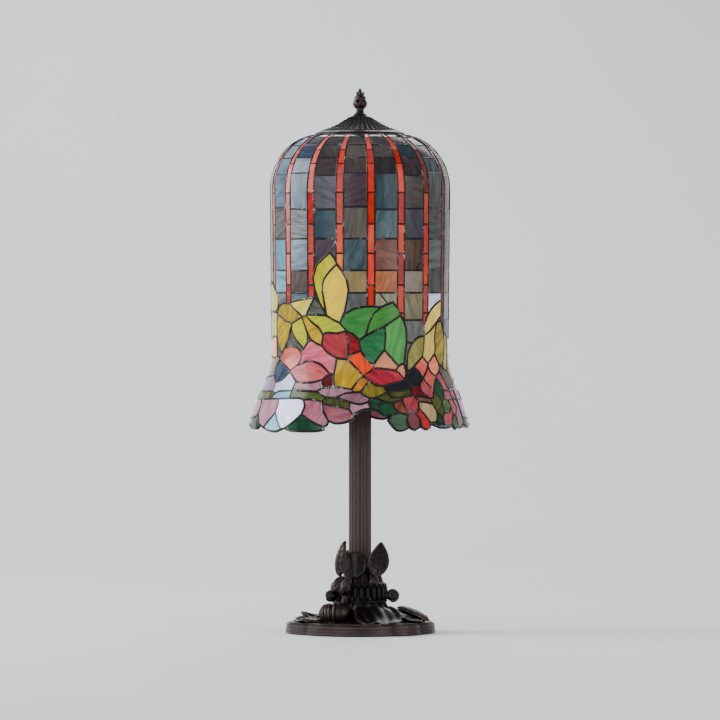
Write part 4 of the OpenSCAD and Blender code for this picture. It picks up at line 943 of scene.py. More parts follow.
GLASS = {
    "ribbon_glass": glass_material("ribbon_glass"),
    "dome_tile_glass": glass_material("dome_tile_glass"),
    "drum_tile_glass": glass_material("drum_tile_glass"),
    **{node: glass_material(node) for node in NODE_COLOURS},
}
BRONZE = bronze_material("bronze")
SOLDER = solder_material()
BRASS = plain_material("aged_brass", (158, 122, 62), Metallic=1.0, Roughness=0.34)
ZINC = plain_material("zinc", (150, 152, 156), Metallic=1.0, Roughness=0.38)
IRON = plain_material("cast_iron", (52, 50, 50), bump=0.5, Metallic=0.7, Roughness=0.62)
CARD = plain_material("liner_card", (186, 168, 128), Roughness=0.85, bump=0.3)
PHENOLIC = plain_material("phenolic", (66, 36, 24), Roughness=0.3)
PLASTIC = plain_material("black_plastic", (22, 22, 22), Roughness=0.55)
BULB_CAP = plain_material("bulb_cap", (188, 188, 186), Metallic=1.0, Roughness=0.28)
BULB = plain_material("bulb_glass", (236, 232, 222), tone=0.03, bump=0.03, Roughness=0.22,
                      Subsurface_Weight=0.2, Subsurface_Scale=0.004)
FELT = felt_material()
NODE_MATERIALS = {
    BRONZE: ("base_plate", "lily_mound", "lily_pads", "pointed_leaves", "lotus_buds",
             "reeded_collar", "stem", "stem_foot_ring", "stem_cap", "vent_cap", "finial",
             "cap_washer"),
    BRASS: ("finial_stud", "cluster_body", "socket_left", "socket_right", "pull_chain_left",
            "pull_chain_right", "shade_wheel", "shade_ring"),
    ZINC: ("base_washer", "base_nut", "lamp_pipe", "wheel_nuts"),
    IRON: ("base_weight",),
    CARD: ("liner_left", "liner_right"),
    PHENOLIC: ("contact_left", "contact_right"),
    PLASTIC: ("cord_bushing",),
    BULB_CAP: ("bulb_base_left", "bulb_base_right"),
    BULB: ("bulb_glass_left", "bulb_glass_right"),
    FELT: ("felt_pad",),
}
for material, nodes in NODE_MATERIALS.items():
    for name in nodes:
        obj = frame["nodes"][name]
        obj.data.materials.clear()
        obj.data.materials.append(material)

# ---- Glass pieces ------------------------------------------------------------------------

INSET = 0.45                # mm from a pane's own edge to the middle of its solder line
FLATTEN = 0.55              # share of the wall's curve that a flat piece of glass leaves out
ASKEW = 0.010               # how far a piece may lean, as a slope
SMALLEST = 6                # mm2; smaller scraps are covered by solder


def tint_of(colour, jitter):
    """The three tints of a colour, each a little off so that no two pieces match."""
    out = []
    shift = (jitter.uniform(-0.012, 0.012), jitter.uniform(0.86, 1.1), jitter.uniform(0.84, 1.14))
    for tint in PALETTE[colour]:
        h, s, v = colorsys.rgb_to_hsv(*(c / 255 for c in tint))
        rgb = colorsys.hsv_to_rgb((h + shift[0]) % 1, min(1, s * shift[1]), min(1, v * shift[2]))
        out.append(linear(tuple(c * 255 for c in rgb)))
    return out


def inset(local, scale, rim):
    """The plan points of a piece, with those of its rim moved in towards the solder line."""
    push = {}
    for a, b in rim:
        dx, dy = (local[b][0] - local[a][0]) * scale[a], local[b][1] - local[a][1]
        length = math.hypot(dx, dy) or 1
        for v in (a, b):
            n = push.setdefault(v, [0, 0])
            n[0] -= dy / length
            n[1] += dx / length
    flat = {}
    for v, (x, y) in local.items():
        nx, ny = push.get(v, (0, 0))
        size = math.hypot(nx, ny)
        if size > 0.2:
            reach = min(2.0, 2 / size) * INSET / size
            x, y = x + nx * reach / scale[v], y + ny * reach
        flat[v] = (x, min(TOP_T, y))
    return flat


def slab(flat, triangles, rim, jitter):
    """Points and faces of one piece of sheet glass, flatter than the wall and a little askew."""
    outer = {v: on_wall(*flat[v]) for v in flat}
    centre = sum(outer.values(), Vector()) / len(flat)
    normal = wall_normal(*[sum(flat[v][k] for v in flat) / len(flat) for k in (0, 1)])
    tilt = Vector([jitter.uniform(-1, 1) for _ in range(3)]) * ASKEW
    verts, index = [], {}
    for layer, depth in enumerate((0.0, -GLASS_T)):
        for v in flat:
            p = on_wall(*flat[v], depth) if layer else outer[v]
            away = outer[v] - centre
            lift = -FLATTEN * away.dot(normal) + away.dot(tilt)
            p = p + normal * INSET * math.tanh(lift / INSET)
            index[(layer, v)] = len(verts)
            verts.append(p * MM)
    faces = []
    for tri in triangles:
        faces.append([index[(0, v)] for v in tri])
        faces.append([index[(1, v)] for v in tri[::-1]])
    for a, b in rim:
        faces.append([index[(0, b)], index[(0, a)], index[(1, a)], index[(1, b)]])
    return verts, faces


def grain_of(flat, scale, is_tile, jitter):
    """The place of each point in its sheet of glass, from which the piece was cut at random."""
    angle = jitter.uniform(0, math.pi)
    if is_tile:
        angle = jitter.uniform(-0.5, 0.5) + (math.pi / 2 if jitter.random() < 0.6 else 0)
    c, s = math.cos(angle), math.sin(angle)
    offset = [jitter.uniform(0, 900) for _ in range(3)]
    grain = []
    for layer in (0, 1):
        for v in flat:
            x, y = flat[v][0] * scale[v], flat[v][1]
            grain.append((x * c + y * s + offset[0], y * c - x * s + offset[1],
                          layer * GLASS_T + offset[2]))
    return grain


def build_glass():
    """Cuts every piece of the plan from sheet glass, and joins the pieces of each CAD node."""
    pieces = {}
    for i, number in enumerate(piece_of):
        pieces.setdefault(number, []).append(i)
    builds = {}
    for number in sorted(pieces):
        members = pieces[number]
        pane_index, turned = plan_owner[members[0]]
        pane = panes[pane_index]
        is_tile = bool(pane.column) and pane.node != "ribbon_glass"
        area = sum(abs(signed_area([
            (plan_verts[v][0] * FLAT, plan_verts[v][1]) for v in plan_triangles[i]]))
            for i in members)
        if area < SMALLEST:
            continue
        jitter = random.Random(1000 * pane_index + 17 * turned + number % 7)
        # local plan coordinates round the piece's own angle, true to size at its height
        middle = plan_verts[plan_triangles[members[0]][0]][0]
        used = sorted({v for i in members for v in plan_triangles[i]})
        local = {v: (middle + gap_angle(plan_verts[v][0], middle), plan_verts[v][1]) for v in used}
        scale = {v: math.radians(1) * wall_r(z_of_t(local[v][1])) for v in used}
        triangles = [plan_triangles[i] for i in members]
        triangles = [tri if signed_area([local[v] for v in tri]) >= 0 else tri[::-1]
                     for tri in triangles]
        sides = {side: True for tri in triangles for side in zip(tri, tri[1:] + tri[:1])}
        rim = [(a, b) for a, b in sides if (b, a) not in sides]
        flat = inset(local, scale, rim)
        verts, faces = slab(flat, triangles, rim, jitter)
        grain = grain_of(flat, scale, is_tile, jitter)
        colour = pane.colour
        if turned and is_tile:
            colour = jitter.choice([p.colour for p in panes if p.column and p.node == pane.node])
        build = builds.setdefault(pane.node, ([], [], [], []))
        start = len(build[0])
        build[0].extend(verts)
        build[1].extend([[v + start for v in f] for f in faces])
        build[2].extend(grain)
        build[3].extend([tint_of(colour, jitter)] * len(verts))
    for node in sorted(builds):
        verts, faces, grain, tints = builds[node]
        obj = new_object("glass_" + node.replace("_glass", ""), verts, faces, GLASS[node], 50)
        attributes = obj.data.attributes
        attributes.new("grain", "FLOAT_VECTOR", "POINT")
        attributes["grain"].data.foreach_set("vector", [x for g in grain for x in g])
        for k, letter in enumerate("abc"):
            attributes.new(f"tint_{letter}", "FLOAT_COLOR", "POINT")
            attributes[f"tint_{letter}"].data.foreach_set(
                "color", [x for t in tints for x in (*t[k], 1.0)])
        place(obj, "shade", node_slots[node], node)


node_slots = {s["node"]: s["material_slot"] for s in frame["record"]["subparts"]}
build_glass()

# ---- Solder lines --------------------------------------------------------------------------

BEAD_SIDES = 8
BEAD_DEPTH = -1.5           # mm from the glass's outer face to the middle of a solder line
# Short solder lines that cut across a tile from the tip of a leaf: [angle, height] of their ends
SPLITS = [((-19.5, 548), (-15.2, 566)), ((17.5, 477), (12.5, 491)), ((44, 545), (39, 525))]


def around(centre, a, b, count):
    """Points on the ellipse with the half-axes a and b."""
    return [centre + a * math.cos(q) + b * math.sin(q)
            for q in (2 * math.pi * k / count for k in range(count))]


class Soup:
    """Points, in mm, and faces gathered before they become one object."""

    def __init__(self):
        self.verts, self.faces = [], []

    def add(self, verts, faces):
        start = len(self.verts)
        self.verts += verts
        self.faces += [[v + start for v in f] for f in faces]

    def tube(self, rings, closed=False):
        """Skins rings of equal length; the ends are closed with flat faces."""
        n = len(rings[0])
        verts = [p for ring in rings for p in ring]
        faces = []
        count = len(rings)
        for i in range(count if closed else count - 1):
            j = (i + 1) % count
            for k in range(n):
                m = (k + 1) % n
                faces.append([i * n + k, i * n + m, j * n + m, j * n + k])
        if not closed:
            faces.append(list(range(n))[::-1])
            faces.append([(count - 1) * n + k for k in range(n)])
        self.add(verts, faces)

    def ball(self, centre, axes, rows=5, cols=9):
        """An ellipsoid with the given half-axes as vectors."""
        a, b, c = (Vector(axis) for axis in axes)
        centre = Vector(centre)
        verts = [centre + c]
        for i in range(1, rows):
            phi = math.pi * i / rows
            verts += around(centre + c * math.cos(phi), a * math.sin(phi), b * math.sin(phi), cols)
        verts.append(centre - c)
        faces = [[0, 1 + j, 1 + (j + 1) % cols] for j in range(cols)]
        for i in range(rows - 2):
            for j in range(cols):
                k = (j + 1) % cols
                p = 1 + i * cols
                faces.append([p + j, p + cols + j, p + cols + k, p + k])
        last = 1 + (rows - 2) * cols
        faces += [[len(verts) - 1, last + (j + 1) % cols, last + j] for j in range(cols)]
        self.add(verts, faces)

    def build(self, name, material, sharp, body, slot, node):
        """Makes the object, which rides on the body and stands for the CAD node."""
        verts = [v * MM for v in self.verts]
        place(new_object(name, verts, self.faces, material, sharp), body, slot, node)


def bead_size(z, kind):
    """Half width and half depth of a solder line, in mm."""
    if kind == "rim":
        return 2.0, 2.8
    if kind == "top":
        return 1.7, 2.5
    if kind == "flower":
        return 2.2, 2.5
    return 1.75 if z < DOME_Z else 1.5, 2.45


def bead_rings(points, kind, closed, jitter):
    """Cross-sections of a bead along plan points, a little uneven as run by hand."""
    phase, wave = jitter.uniform(0, 6.28), jitter.uniform(0.3, 0.6)
    centres = [on_wall(*p, BEAD_DEPTH) for p in points]
    n = len(points)
    rings = []
    for i, p in enumerate(points):
        before = centres[i - 1] if i or closed else centres[i]
        after = centres[(i + 1) % n] if i < n - 1 or closed else centres[i]
        along = (after - before).normalized()
        out = wall_normal(*p)
        across = along.cross(out).normalized()
        out = across.cross(along)
        half, deep = bead_size(z_of_t(p[1]), kind)
        half *= 1 + 0.07 * math.sin(phase + wave * i)
        deep *= 1 + 0.05 * math.sin(phase * 2 + wave * 1.7 * i)
        rings.append(around(centres[i], across * half, out * deep, BEAD_SIDES))
    return rings


def bead_edges():
    """The plan's edges that carry solder, by the kind of bead."""
    kinds = {"flower": [], "line": [], "rim": [], "top": []}
    for edge, pair in plan_edges.items():
        if len(pair) == 1:
            low = min(plan_verts[v][1] for v in edge) < TOP_T - 0.5
            kinds["rim" if low else "top"].append(edge)
        elif piece_of[pair[0]] != piece_of[pair[1]]:
            flower = min(plan_owner[i][0] for i in pair) < flower_count
            kinds["flower" if flower else "line"].append(edge)
    return kinds


def build_beads():
    """Runs a bead along every edge between two pieces, with a drop where beads meet."""
    soups = {"came_drum": Soup(), "came_front": Soup(), "came_back": Soup()}

    def soup_for(theta, t):
        if z_of_t(t) > DOME_ROWS[-1]:
            return soups["came_drum"]
        return soups["came_front" if abs(gap_angle(theta, 0)) < 90 else "came_back"]

    drops = {}
    for kind, edges in bead_edges().items():
        for chain in chains_of(edges):
            closed = chain[0] == chain[-1]
            points = [plan_verts[v] for v in (chain[:-1] if closed else chain)]
            length = sum(abs(gap_angle(a[0], b[0])) * FLAT + abs(a[1] - b[1])
                         for a, b in zip(points, points[1:]))
            if len(points) < 2 or length < 1.0:
                continue
            jitter = random.Random(chain[0] * 31 + chain[-1])
            soup_for(*points[len(points) // 2]).tube(
                bead_rings(points, kind, closed, jitter), closed)
            for v in () if closed else (chain[0], chain[-1]):
                drops[v] = max(drops.get(v, 0), bead_size(z_of_t(plan_verts[v][1]), kind)[0])
    for turned in (0, 180):
        for (a0, z0), (a1, z1) in SPLITS:
            rings = []
            for s in range(9):
                p = (a0 + (a1 - a0) * s / 8 + turned, t_of_z(z0 + (z1 - z0) * s / 8))
                out, at = wall_normal(*p), on_wall(*p, BEAD_DEPTH)
                across = UP.cross(out).normalized()
                rings.append(around(at, across * 1.5, out * 2.45, BEAD_SIDES))
            soup_for(*p).tube(rings)
    for v in sorted(drops):
        p = plan_verts[v]
        out = wall_normal(*p)
        across = UP.cross(out)
        if across.length < 0.2:
            across = Vector((1, 0, 0))
        across = across.normalized() * (drops[v] * 1.15)
        soup_for(*p).ball(on_wall(*p, BEAD_DEPTH), (across, out.cross(across), out * 2.42))
    for node, soup in soups.items():
        soup.build(node.replace("came", "leads"), SOLDER, 60, "shade", "solder", node)


build_beads()

# ---- Leaves, pads and buds of the cast base --------------------------------------------------

BASE_TOP = 17.0             # mm, the flat top of the base plate


def sheet(soup, point_at, thick, cols=26, rows=14, thin=0.35):
    """A closed leaf from point_at(u, v), u 0..1 along it and v -1..1 across, thin at its rim."""
    grid = [[point_at(i / cols, 2 * j / rows - 1) for j in range(rows + 1)]
            for i in range(cols + 1)]
    upper, lower = [], []
    for i in range(cols + 1):
        for j in range(rows + 1):
            along = grid[min(i + 1, cols)][j] - grid[max(i - 1, 0)][j]
            across = grid[i][min(j + 1, rows)] - grid[i][max(j - 1, 0)]
            normal = along.cross(across)
            if normal.length < 1e-9:
                normal = UP
            normal = normal.normalized()
            rim = min(1.0, min(i, cols - i) / 3, min(j, rows - j) / 2)
            half = thick / 2 * (thin + (1 - thin) * math.sin(rim * math.pi / 2))
            upper.append(grid[i][j] + normal * half)
            lower.append(grid[i][j] - normal * half)
    wide, n = rows + 1, len(upper)
    faces = []
    for i in range(cols):
        for j in range(rows):
            a, b, c, d = i * wide + j, (i + 1) * wide + j, (i + 1) * wide + j + 1, i * wide + j + 1
            faces.append([a, b, c, d])
            faces.append([n + d, n + c, n + b, n + a])
    edge = ([i * wide for i in range(cols + 1)]
            + [cols * wide + j for j in range(1, wide)]
            + [i * wide + rows for i in range(cols - 1, -1, -1)]
            + [j for j in range(rows - 1, 0, -1)])
    for a, b in zip(edge, edge[1:] + edge[:1]):
        faces.append([b, a, n + a, n + b])
    soup.add(upper + lower, faces)


def leaf(soup, foot, tip, face, width, bow=5, cup=3, fold=1.2, thick=3.4, belly=0.8, wave=0.0,
         twist=0.0):
    """A pointed leaf from its foot to its tip; face is the way its upper side looks."""
    foot, tip, face = Vector(foot), Vector(tip), Vector(face)
    along = (tip - foot).normalized()
    face = (face - along * face.dot(along)).normalized()
    across = face.cross(along)

    def point_at(u, v):
        half = width / 2 * max(0.03, math.sin(math.pi * min(1.0, 0.02 + 0.98 * u) ** belly)) ** 0.8
        x = v * half
        veins = 0.35 * math.sin(6.28 * (6 * u - 1.1 * abs(v))) * (1 - v * v)
        lift = bow * 4 * u * (1 - u) + cup * v * v - fold * math.exp(-(x / 1.5) ** 2) + veins
        lift += wave * math.sin(9 * u + 2.2 * v) * abs(v) + twist * v * u
        return foot + along * u * (tip - foot).length + across * x + face * lift

    sheet(soup, point_at, thick)


def pad(soup, centre, normal, radius, up=(0, 0, 1), cup=-3.0, rim=2.0, fold=0.0, thick=3.6,
        wave=0.8, veins=11):
    """A round lily pad: cupped, with ribs from its middle, and its rim turned up."""
    centre, normal, up = Vector(centre), Vector(normal).normalized(), Vector(up)
    up = (up - normal * up.dot(normal)).normalized()
    side = up.cross(normal)

    def point_at(u, v):
        a = 2 * u - 1
        x, y = a * math.sqrt(1 - v * v / 2), v * math.sqrt(1 - a * a / 2)
        r, angle = math.hypot(x, y), math.atan2(x, y)
        notch = 1 - 0.10 * math.exp(-((angle + 2.4) / 0.16) ** 2)
        lift = cup * r * r + rim * smooth_step((r - 0.72) / 0.28)
        lift += 0.45 * math.cos(veins * angle) * r * (1.2 - r) + wave * r * math.sin(5 * angle)
        lift -= fold * math.exp(-(x / 0.15) ** 2) * (1 - 0.4 * y)
        return centre + (side * x + up * y) * radius * notch + normal * lift

    sheet(soup, point_at, thick, 24, 24, 0.5)


def bud(soup, centre, axis, radius, height, petals=5, turned=0.0, tiers=2, sides=40, rows=22):
    """A closed bud of overlapping pointed petals."""
    centre, axis = Vector(centre), Vector(axis).normalized()
    side = axis.cross(Vector((0.3, 1, 0.1))).normalized()
    front = axis.cross(side)
    rings = []
    for i in range(rows + 1):
        s = 0.01 + 0.985 * i / rows
        size = radius * math.sin(math.pi * s ** 0.9) ** 0.7
        ring = []
        for k in range(sides):
            angle = 2 * math.pi * k / sides
            step = 0.0
            for tier in range(tiers):
                phase = (angle + turned + tier * math.pi / petals) * petals / (2 * math.pi) % 1
                d = abs(phase - 0.5) * 2
                top = 1.0 - 0.30 * tier - 0.34 * d ** 1.6
                inside = smooth_step((top - s) / 0.07)
                step = max(step, inside * (0.05 + 0.09 * tier) + 0.05 * inside * (1 - d * d))
            r = size * (0.90 + step)
            ring.append(centre + axis * (s - 0.5) * height
                        + (side * math.cos(angle) + front * math.sin(angle)) * r)
        rings.append(ring)
    soup.tube(rings)


def rod(soup, points, radii, sides=12, flat=1.0):
    """A round stalk through the points, as wide as radii say at each of them."""
    points = [Vector(p) for p in points]
    fine, sizes = [], []
    last = len(points) - 1
    for i in range(last):
        before = points[i - 1] if i else points[0] * 2 - points[1]
        after = points[i + 2] if i + 2 <= last else points[last] * 2 - points[last - 1]
        for s in range(6):
            t = s / 6
            fine.append(Vector(spline_point(before, points[i], points[i + 1], after, t)))
            sizes.append(radii[i] + (radii[i + 1] - radii[i]) * smooth_step(t))
    fine.append(points[last])
    sizes.append(radii[last])
    rings = []
    side = None
    for i, p in enumerate(fine):
        along = (fine[min(i + 1, len(fine) - 1)] - fine[max(i - 1, 0)]).normalized()
        if side is None:
            side = along.orthogonal().normalized()
        side = (side - along * side.dot(along)).normalized()
        rings.append(around(p, side * sizes[i], along.cross(side) * (flat * sizes[i]), sides))
    soup.tube(rings)


def scroll(soup, centre, normal, radius, turns=1.7, thick=2.5):
    """A young leaf rolled into a spiral round its own middle, on a small solid back."""
    centre, normal = Vector(centre), Vector(normal).normalized()
    side = UP.cross(normal).normalized()
    points, radii = [], []
    for i in range(19):
        t = i / 18
        angle = 2 * math.pi * turns * t - 1.9
        r = (radius - thick) * (1 - 0.86 * t)
        points.append(centre + (side * math.cos(angle) + UP * math.sin(angle)) * r
                      + normal * (1.5 * t))
        radii.append(thick * (1 - 0.35 * t))
    rod(soup, points, radii, 10)
    soup.ball(centre - normal * 1.5, (
        side * (radius - 1.6), UP * (radius - 1.6), -normal * 3.5), 8, 20)


def round_about(angle, radius, z):
    """The point at that angle from the front, radius and height, in mm."""
    a = math.radians(angle)
    return Vector((radius * math.sin(a), -radius * math.cos(a), z))


def outward(angle, lift=0.0):
    """The direction away from the axis at that angle, with some lift."""
    a = math.radians(angle)
    return Vector((math.sin(a), -math.cos(a), lift)).normalized()


def revolve(soup, line, sides, moved, closed=False):
    """Turns a line of points (radius, height, ...) about the axis; moved shifts each of them."""
    soup.tube([[round_about(math.degrees(a), *moved(a, *entry))
                for a in (2 * math.pi * k / sides for k in range(sides))] for entry in line],
              closed)


def cast(name, soup, node):
    """Makes one bronze casting of the stand."""
    soup.build(name, BRONZE, 50, "stand", "bronze", node)


MOUND = [(76, BASE_TOP - 0.4), (73, 18.5), (66, 20.5), (57, 24), (48, 29), (41, 36), (36.5, 45),
         (33, 56), (29.5, 66), (26, 74), (22.8, 84), (20.4, 92), (18.6, 98), (17, 98.6)]


def build_mound():
    """The core: folds run down it like cloth and spread over the plate as ripples."""

    def draped(a, r, z):
        drape = math.sin(9 * a + 0.05 * z) + 0.6 * math.sin(17 * a - 0.09 * z + 1)
        low = smooth_step((60 - z) / 40)
        size = (0.5 + 1.5 * low) * smooth_step((98 - z) / 12) * smooth_step((z - 16) / 5)
        return (r + size * drape, z)

    soup = Soup()
    line = [(r0 + (r1 - r0) * s / 4, z0 + (z1 - z0) * s / 4)
            for (r0, z0), (r1, z1) in zip(MOUND, MOUND[1:]) for s in range(4)]
    revolve(soup, line + MOUND[-1:], 150, draped)
    # a draped sheath below each tall leaf
    for angle, top in ((44, 90), (-40, 86), (112, 76), (165, 78), (-150, 74)):
        rod(soup, [round_about(angle + 3, 31, 66), round_about(angle + 2, 29.5, 72),
                   round_about(angle, 27, 80), round_about(angle - 2, 24, top)],
            [7, 7.5, 6.5, 3], 16, 0.8)
        for side in (-1, 1):
            rod(soup, [round_about(angle + side * 15, 31, 68),
                       round_about(angle + side * 11, 30, 76),
                       round_about(angle + side * 5, 28, 84), round_about(angle, 26, top + 3)],
                [3.2, 3.4, 3, 1.4], 12)
    cast("base_core", soup, "lily_mound")


def build_pads():
    """The disc on the stem, the curled pad, the front leaf, and the pads round the plate."""
    soup = Soup()
    pad(soup, (-10.5, -27, 99.3), (-0.12, -1, 0.16), 18.8, cup=-2.4, rim=0.6, fold=1.3, wave=0.2)
    # the big curled pad at the front left: a shell beside a ribbed roll
    soup.ball((-29, -45, 30), ((15.5, -3, 0), (3, 17, 0), (0, 0, 16.5)), 18, 36)
    roll, wide, deep, tall = Vector((-42, -44, 30)), 15.5, 15.5, 15
    soup.ball(roll, ((wide, 0, 0), (0, deep, 0), (0, 0, tall)), 16, 32)
    for k in range(9):
        bend = math.radians(-12 - 18 * k)
        points = [roll + Vector((wide * math.cos(q) * math.sin(bend),
                                 -deep * math.cos(q) * math.cos(bend), tall * math.sin(q)))
                  for q in (-1.3, -0.8, -0.27, 0.27, 0.8, 1.3)]
        rod(soup, points, [0.6, 1.5, 1.9, 1.9, 1.5, 0.6], 8)
    rod(soup, [(-38.5 + 3.2 * math.sin(q) ** 2, -44 - 17.5 * math.cos(q), 30 + 16.5 * math.sin(q))
               for q in (-1.2, -0.6, 0, 0.6, 1.2, 1.7)], [1.2, 1.8, 2, 2, 1.8, 1.2], 10)

    def flow(u, v):
        """The leaf that flows from the mound over the front edge."""
        half = 33 * (0.55 + 0.45 * math.sin(math.pi * (0.15 + 0.7 * u)))
        slope = 37 - 19.0 * smooth_step(u * 1.25) + 1.5 * (1 - v * v)
        folds = 0.9 * math.sin(6.5 * v + 2.4 * u) * (0.4 + u) + 0.45 * math.sin(15 * v - 5 * u + 1)
        curl = 2.2 * smooth_step((abs(v) - 0.72) / 0.28) * (1 - 0.6 * u)
        return Vector((20 + v * half + 7 * math.sin(2.2 * u), -40 - 61 * u + 7 * v * v * u,
                       max(BASE_TOP + 0.8, slope + folds + curl)))

    sheet(soup, flow, 3.2, 34, 40, 0.5)
    pad(soup, (45, -40, 35), (0.5, -1, 0.6), 7, cup=-4, rim=0, wave=0.2)
    # pads that lie round the plate
    for angle, radius, size, tilt, turned_up in (
            (-72, 80, 19, 0.22, 2.6), (-112, 74, 21, 0.16, 3.2), (-148, 70, 24, 0.12, 3.0),
            (174, 72, 22, 0.10, 2.4), (138, 70, 23, 0.14, 3.4), (98, 74, 20, 0.16, 3.0),
            (63, 82, 17, 0.22, 3.0)):
        at = round_about(angle, radius, BASE_TOP + 5.2)
        away = outward(angle)
        pad(soup, at, (away.x * tilt, away.y * tilt, 1), size, up=away, cup=-2.6, rim=turned_up)
    pad(soup, round_about(-36 + 180, 31, 96), outward(144, 0.15), 17, fold=1.8, cup=-2, rim=0.8)
    # water rings along the front of the plate
    for k, (x, y, size) in enumerate(((-22, -99, 15), (10, -103, 18), (44, -92, 14))):
        points = [(x + size * math.cos(q) * 1.1, y + 3.2 * math.sin(q) + 0.004 * x * x * 0.5,
                   BASE_TOP - 0.3) for q in (-2.9, -2.0, -1.1, -0.2, 0.7, 1.6, 2.4)]
        rod(soup, points, [0.5, 1.3, 1.5, 1.5, 1.4, 1.1, 0.4], 8, 0.8)
    cast("pads_and_shells", soup, "lily_pads")


def build_leaves():
    """The leaves that stand round the stem, and those that rise off the plate."""
    soup = Soup()
    leaf(soup, (25, -31, 84), (30.5, -38, 132.5), (0.12, -1, 0.12), 30, bow=-4, cup=2.6)
    leaf(soup, (-31, -19, 83), (-22.5, -21, 133.5), (-0.5, -0.86, 0), 17, bow=4, cup=-3,
         thick=4.2)
    leaf(soup, (-23, -28, 82), (-40, -33, 62), (-0.2, -1, 0.2), 15, bow=3, cup=-2)
    for angle, radius, low, tall, width in ((112, 25, 70, 118, 22), (165, 23, 72, 130, 27),
                                            (-150, 25, 68, 118, 25)):
        leaf(soup, round_about(angle, radius, low), round_about(angle + 4, radius + 7, tall),
             outward(angle, 0.15), width, bow=-4, cup=3)
    # leaves that rise off the plate at the sides
    leaf(soup, (100, -22, 20.5), (55, -30, 40), (0.35, -0.25, 1), 21, bow=2.5, cup=-2.6, thick=4.2)
    leaf(soup, (94, -8, 19.5), (52, -12, 35), (0.3, 0.2, 1), 22, bow=2, cup=-2.6, thick=4)
    leaf(soup, (-46, -34, 21), (-83, -31, 31), (-0.2, -0.3, 1), 19, bow=-4, cup=2.6, thick=3.8)
    leaf(soup, (-44, -12, 20), (-93, -14, 22.5), (-0.1, -0.1, 1), 26, bow=3, cup=-2, thick=3.4)
    leaf(soup, (-52, -44, 19.5), (-87, -46, 21.5), (0, -0.2, 1), 22, bow=2, cup=-1.5, thick=3.2)
    for angle in (-125, 118, 152, -168):
        leaf(soup, round_about(angle, 48, 20), round_about(angle + 9, 95, 27),
             (0, 0, 1), 24, bow=-3.5, cup=2.6, wave=1.2)
    cast("pointed_leaf_cluster", soup, "pointed_leaves")


def build_buds():
    """The egg and ball buds at the front left, the scroll on the right, and the back's buds."""
    soup = Soup()
    bud(soup, (-20.5, -37, 67.4), (0.12, -0.3, 1), 9.2, 30)
    bud(soup, (-42.2, -17, 54.7), (-0.8, -0.5, 0.5), 9.0, 18.5, 6)
    scroll(soup, (47.5, -8, 54.7), (0.25, -1, 0.1), 11)
    for angle in (142, -128, -168):
        bud(soup, round_about(angle, 43, 60), outward(angle, 1.4), 9.2, 28, turned=angle / 40)
        rod(soup, [round_about(angle, 36, 34), round_about(angle, 39, 44),
                   round_about(angle, 40, 51)], [4.5, 3.6, 4.2])
    rod(soup, [(-24, -20, 40), (-36, -17, 47), (-40, -17, 51)], [4.5, 3.8, 4])
    rod(soup, [(32, -6, 54), (40, -5, 54), (47, -4, 54.7)], [6, 6, 5])
    rod(soup, [(-20, -31, 40), (-21, -35, 48), (-21, -35, 55)], [4.5, 4, 5])
    cast("lotus_bud_cluster", soup, "lotus_buds")


def build_collar():
    """A ring of narrow sepals between two bead rows."""
    soup = Soup()
    count = 24
    for k in range(count):
        angle = 360 / count * k
        at = round_about(angle, 35.2, 57.5) + Vector((2, 0, 0))
        out = outward(angle)
        across = UP.cross(out)
        soup.ball(at, (across * 3.5, out * 3.3, UP * 11.5), 10, 14)
        bead_at = round_about(angle + 180 / count, 34.6, 69) + Vector((2, 0, 0))
        soup.ball(bead_at, (across * 3, out * 2.6, UP * 2.6), 8, 12)
    for radius, z, size in ((35.5, 46.2, 2.4), (33.2, 66.4, 1.8), (33.6, 71.6, 1.5)):
        rings = []
        for k in range(96):
            angle = 3.75 * k
            at = round_about(angle, radius, z) + Vector((2, 0, 0))
            rings.append(around(at, outward(angle) * size, UP * size, 10))
        soup.tube(rings, True)
    cast("sepal_collar", soup, "reeded_collar")


# ---- Vent cap and finial ---------------------------------------------------------------------

CAP_OUTER = [(3.4, 755.3), (5.0, 755.3), (5.3, 754), (6.4, 750.6), (8.0, 749.2), (9.6, 748.6),
             (9.9, 747.6), (9.4, 746.9), (10.6, 746.4), (15, 744), (19, 741.5), (23.5, 738.8),
             (28, 736), (33, 733), (37.5, 730.8), (42, 728.6), (46, 727.2), (50.5, 726),
             (53.5, 725.2), (54.2, 725.9), (55.6, 725.8), (56.2, 724.6), (60, 723.4),
             (63.2, 722.3), (64.5, 721.2), (64.5, 718.6)]
CAP_INNER = [(60, 718.6), (56, 720.5), (50, 722.5), (42, 725), (33, 729.5), (23, 735.5),
             (14, 741.5), (7, 745.5), (3.4, 746)]
CAP_RIBS = 36


def build_cap():
    """The ogee cap: twisted ribs run down its cone between a ring at the neck and a plain rim."""
    line = []
    for (r0, z0), (r1, z1) in zip(CAP_OUTER, CAP_OUTER[1:]):
        steps = max(1, round(math.hypot(r1 - r0, z1 - z0) / 1.6))
        line += [(r0 + (r1 - r0) * s / steps, z0 + (z1 - z0) * s / steps, True)
                 for s in range(steps)]
    line.append((*CAP_OUTER[-1], True))
    line += [(r, z, False) for r, z in CAP_INNER]

    def ribbed(a, r, z, outside):
        on_ribs = smooth_step((r - 11.5) / 3) * smooth_step((53 - r) / 3) if outside else 0.0
        rope = math.cos(CAP_RIBS * a + 0.10 * r) + 0.35 * math.cos(2 * CAP_RIBS * a - 0.9 * r)
        lift = on_ribs * (0.75 + 0.014 * r) * rope
        return (r + lift * 0.45, z + lift * 0.8)

    soup = Soup()
    revolve(soup, line, CAP_RIBS * 8, ribbed, True)
    soup.build("ribbed_cap", BRONZE, 60, "cap", "bronze", "vent_cap")


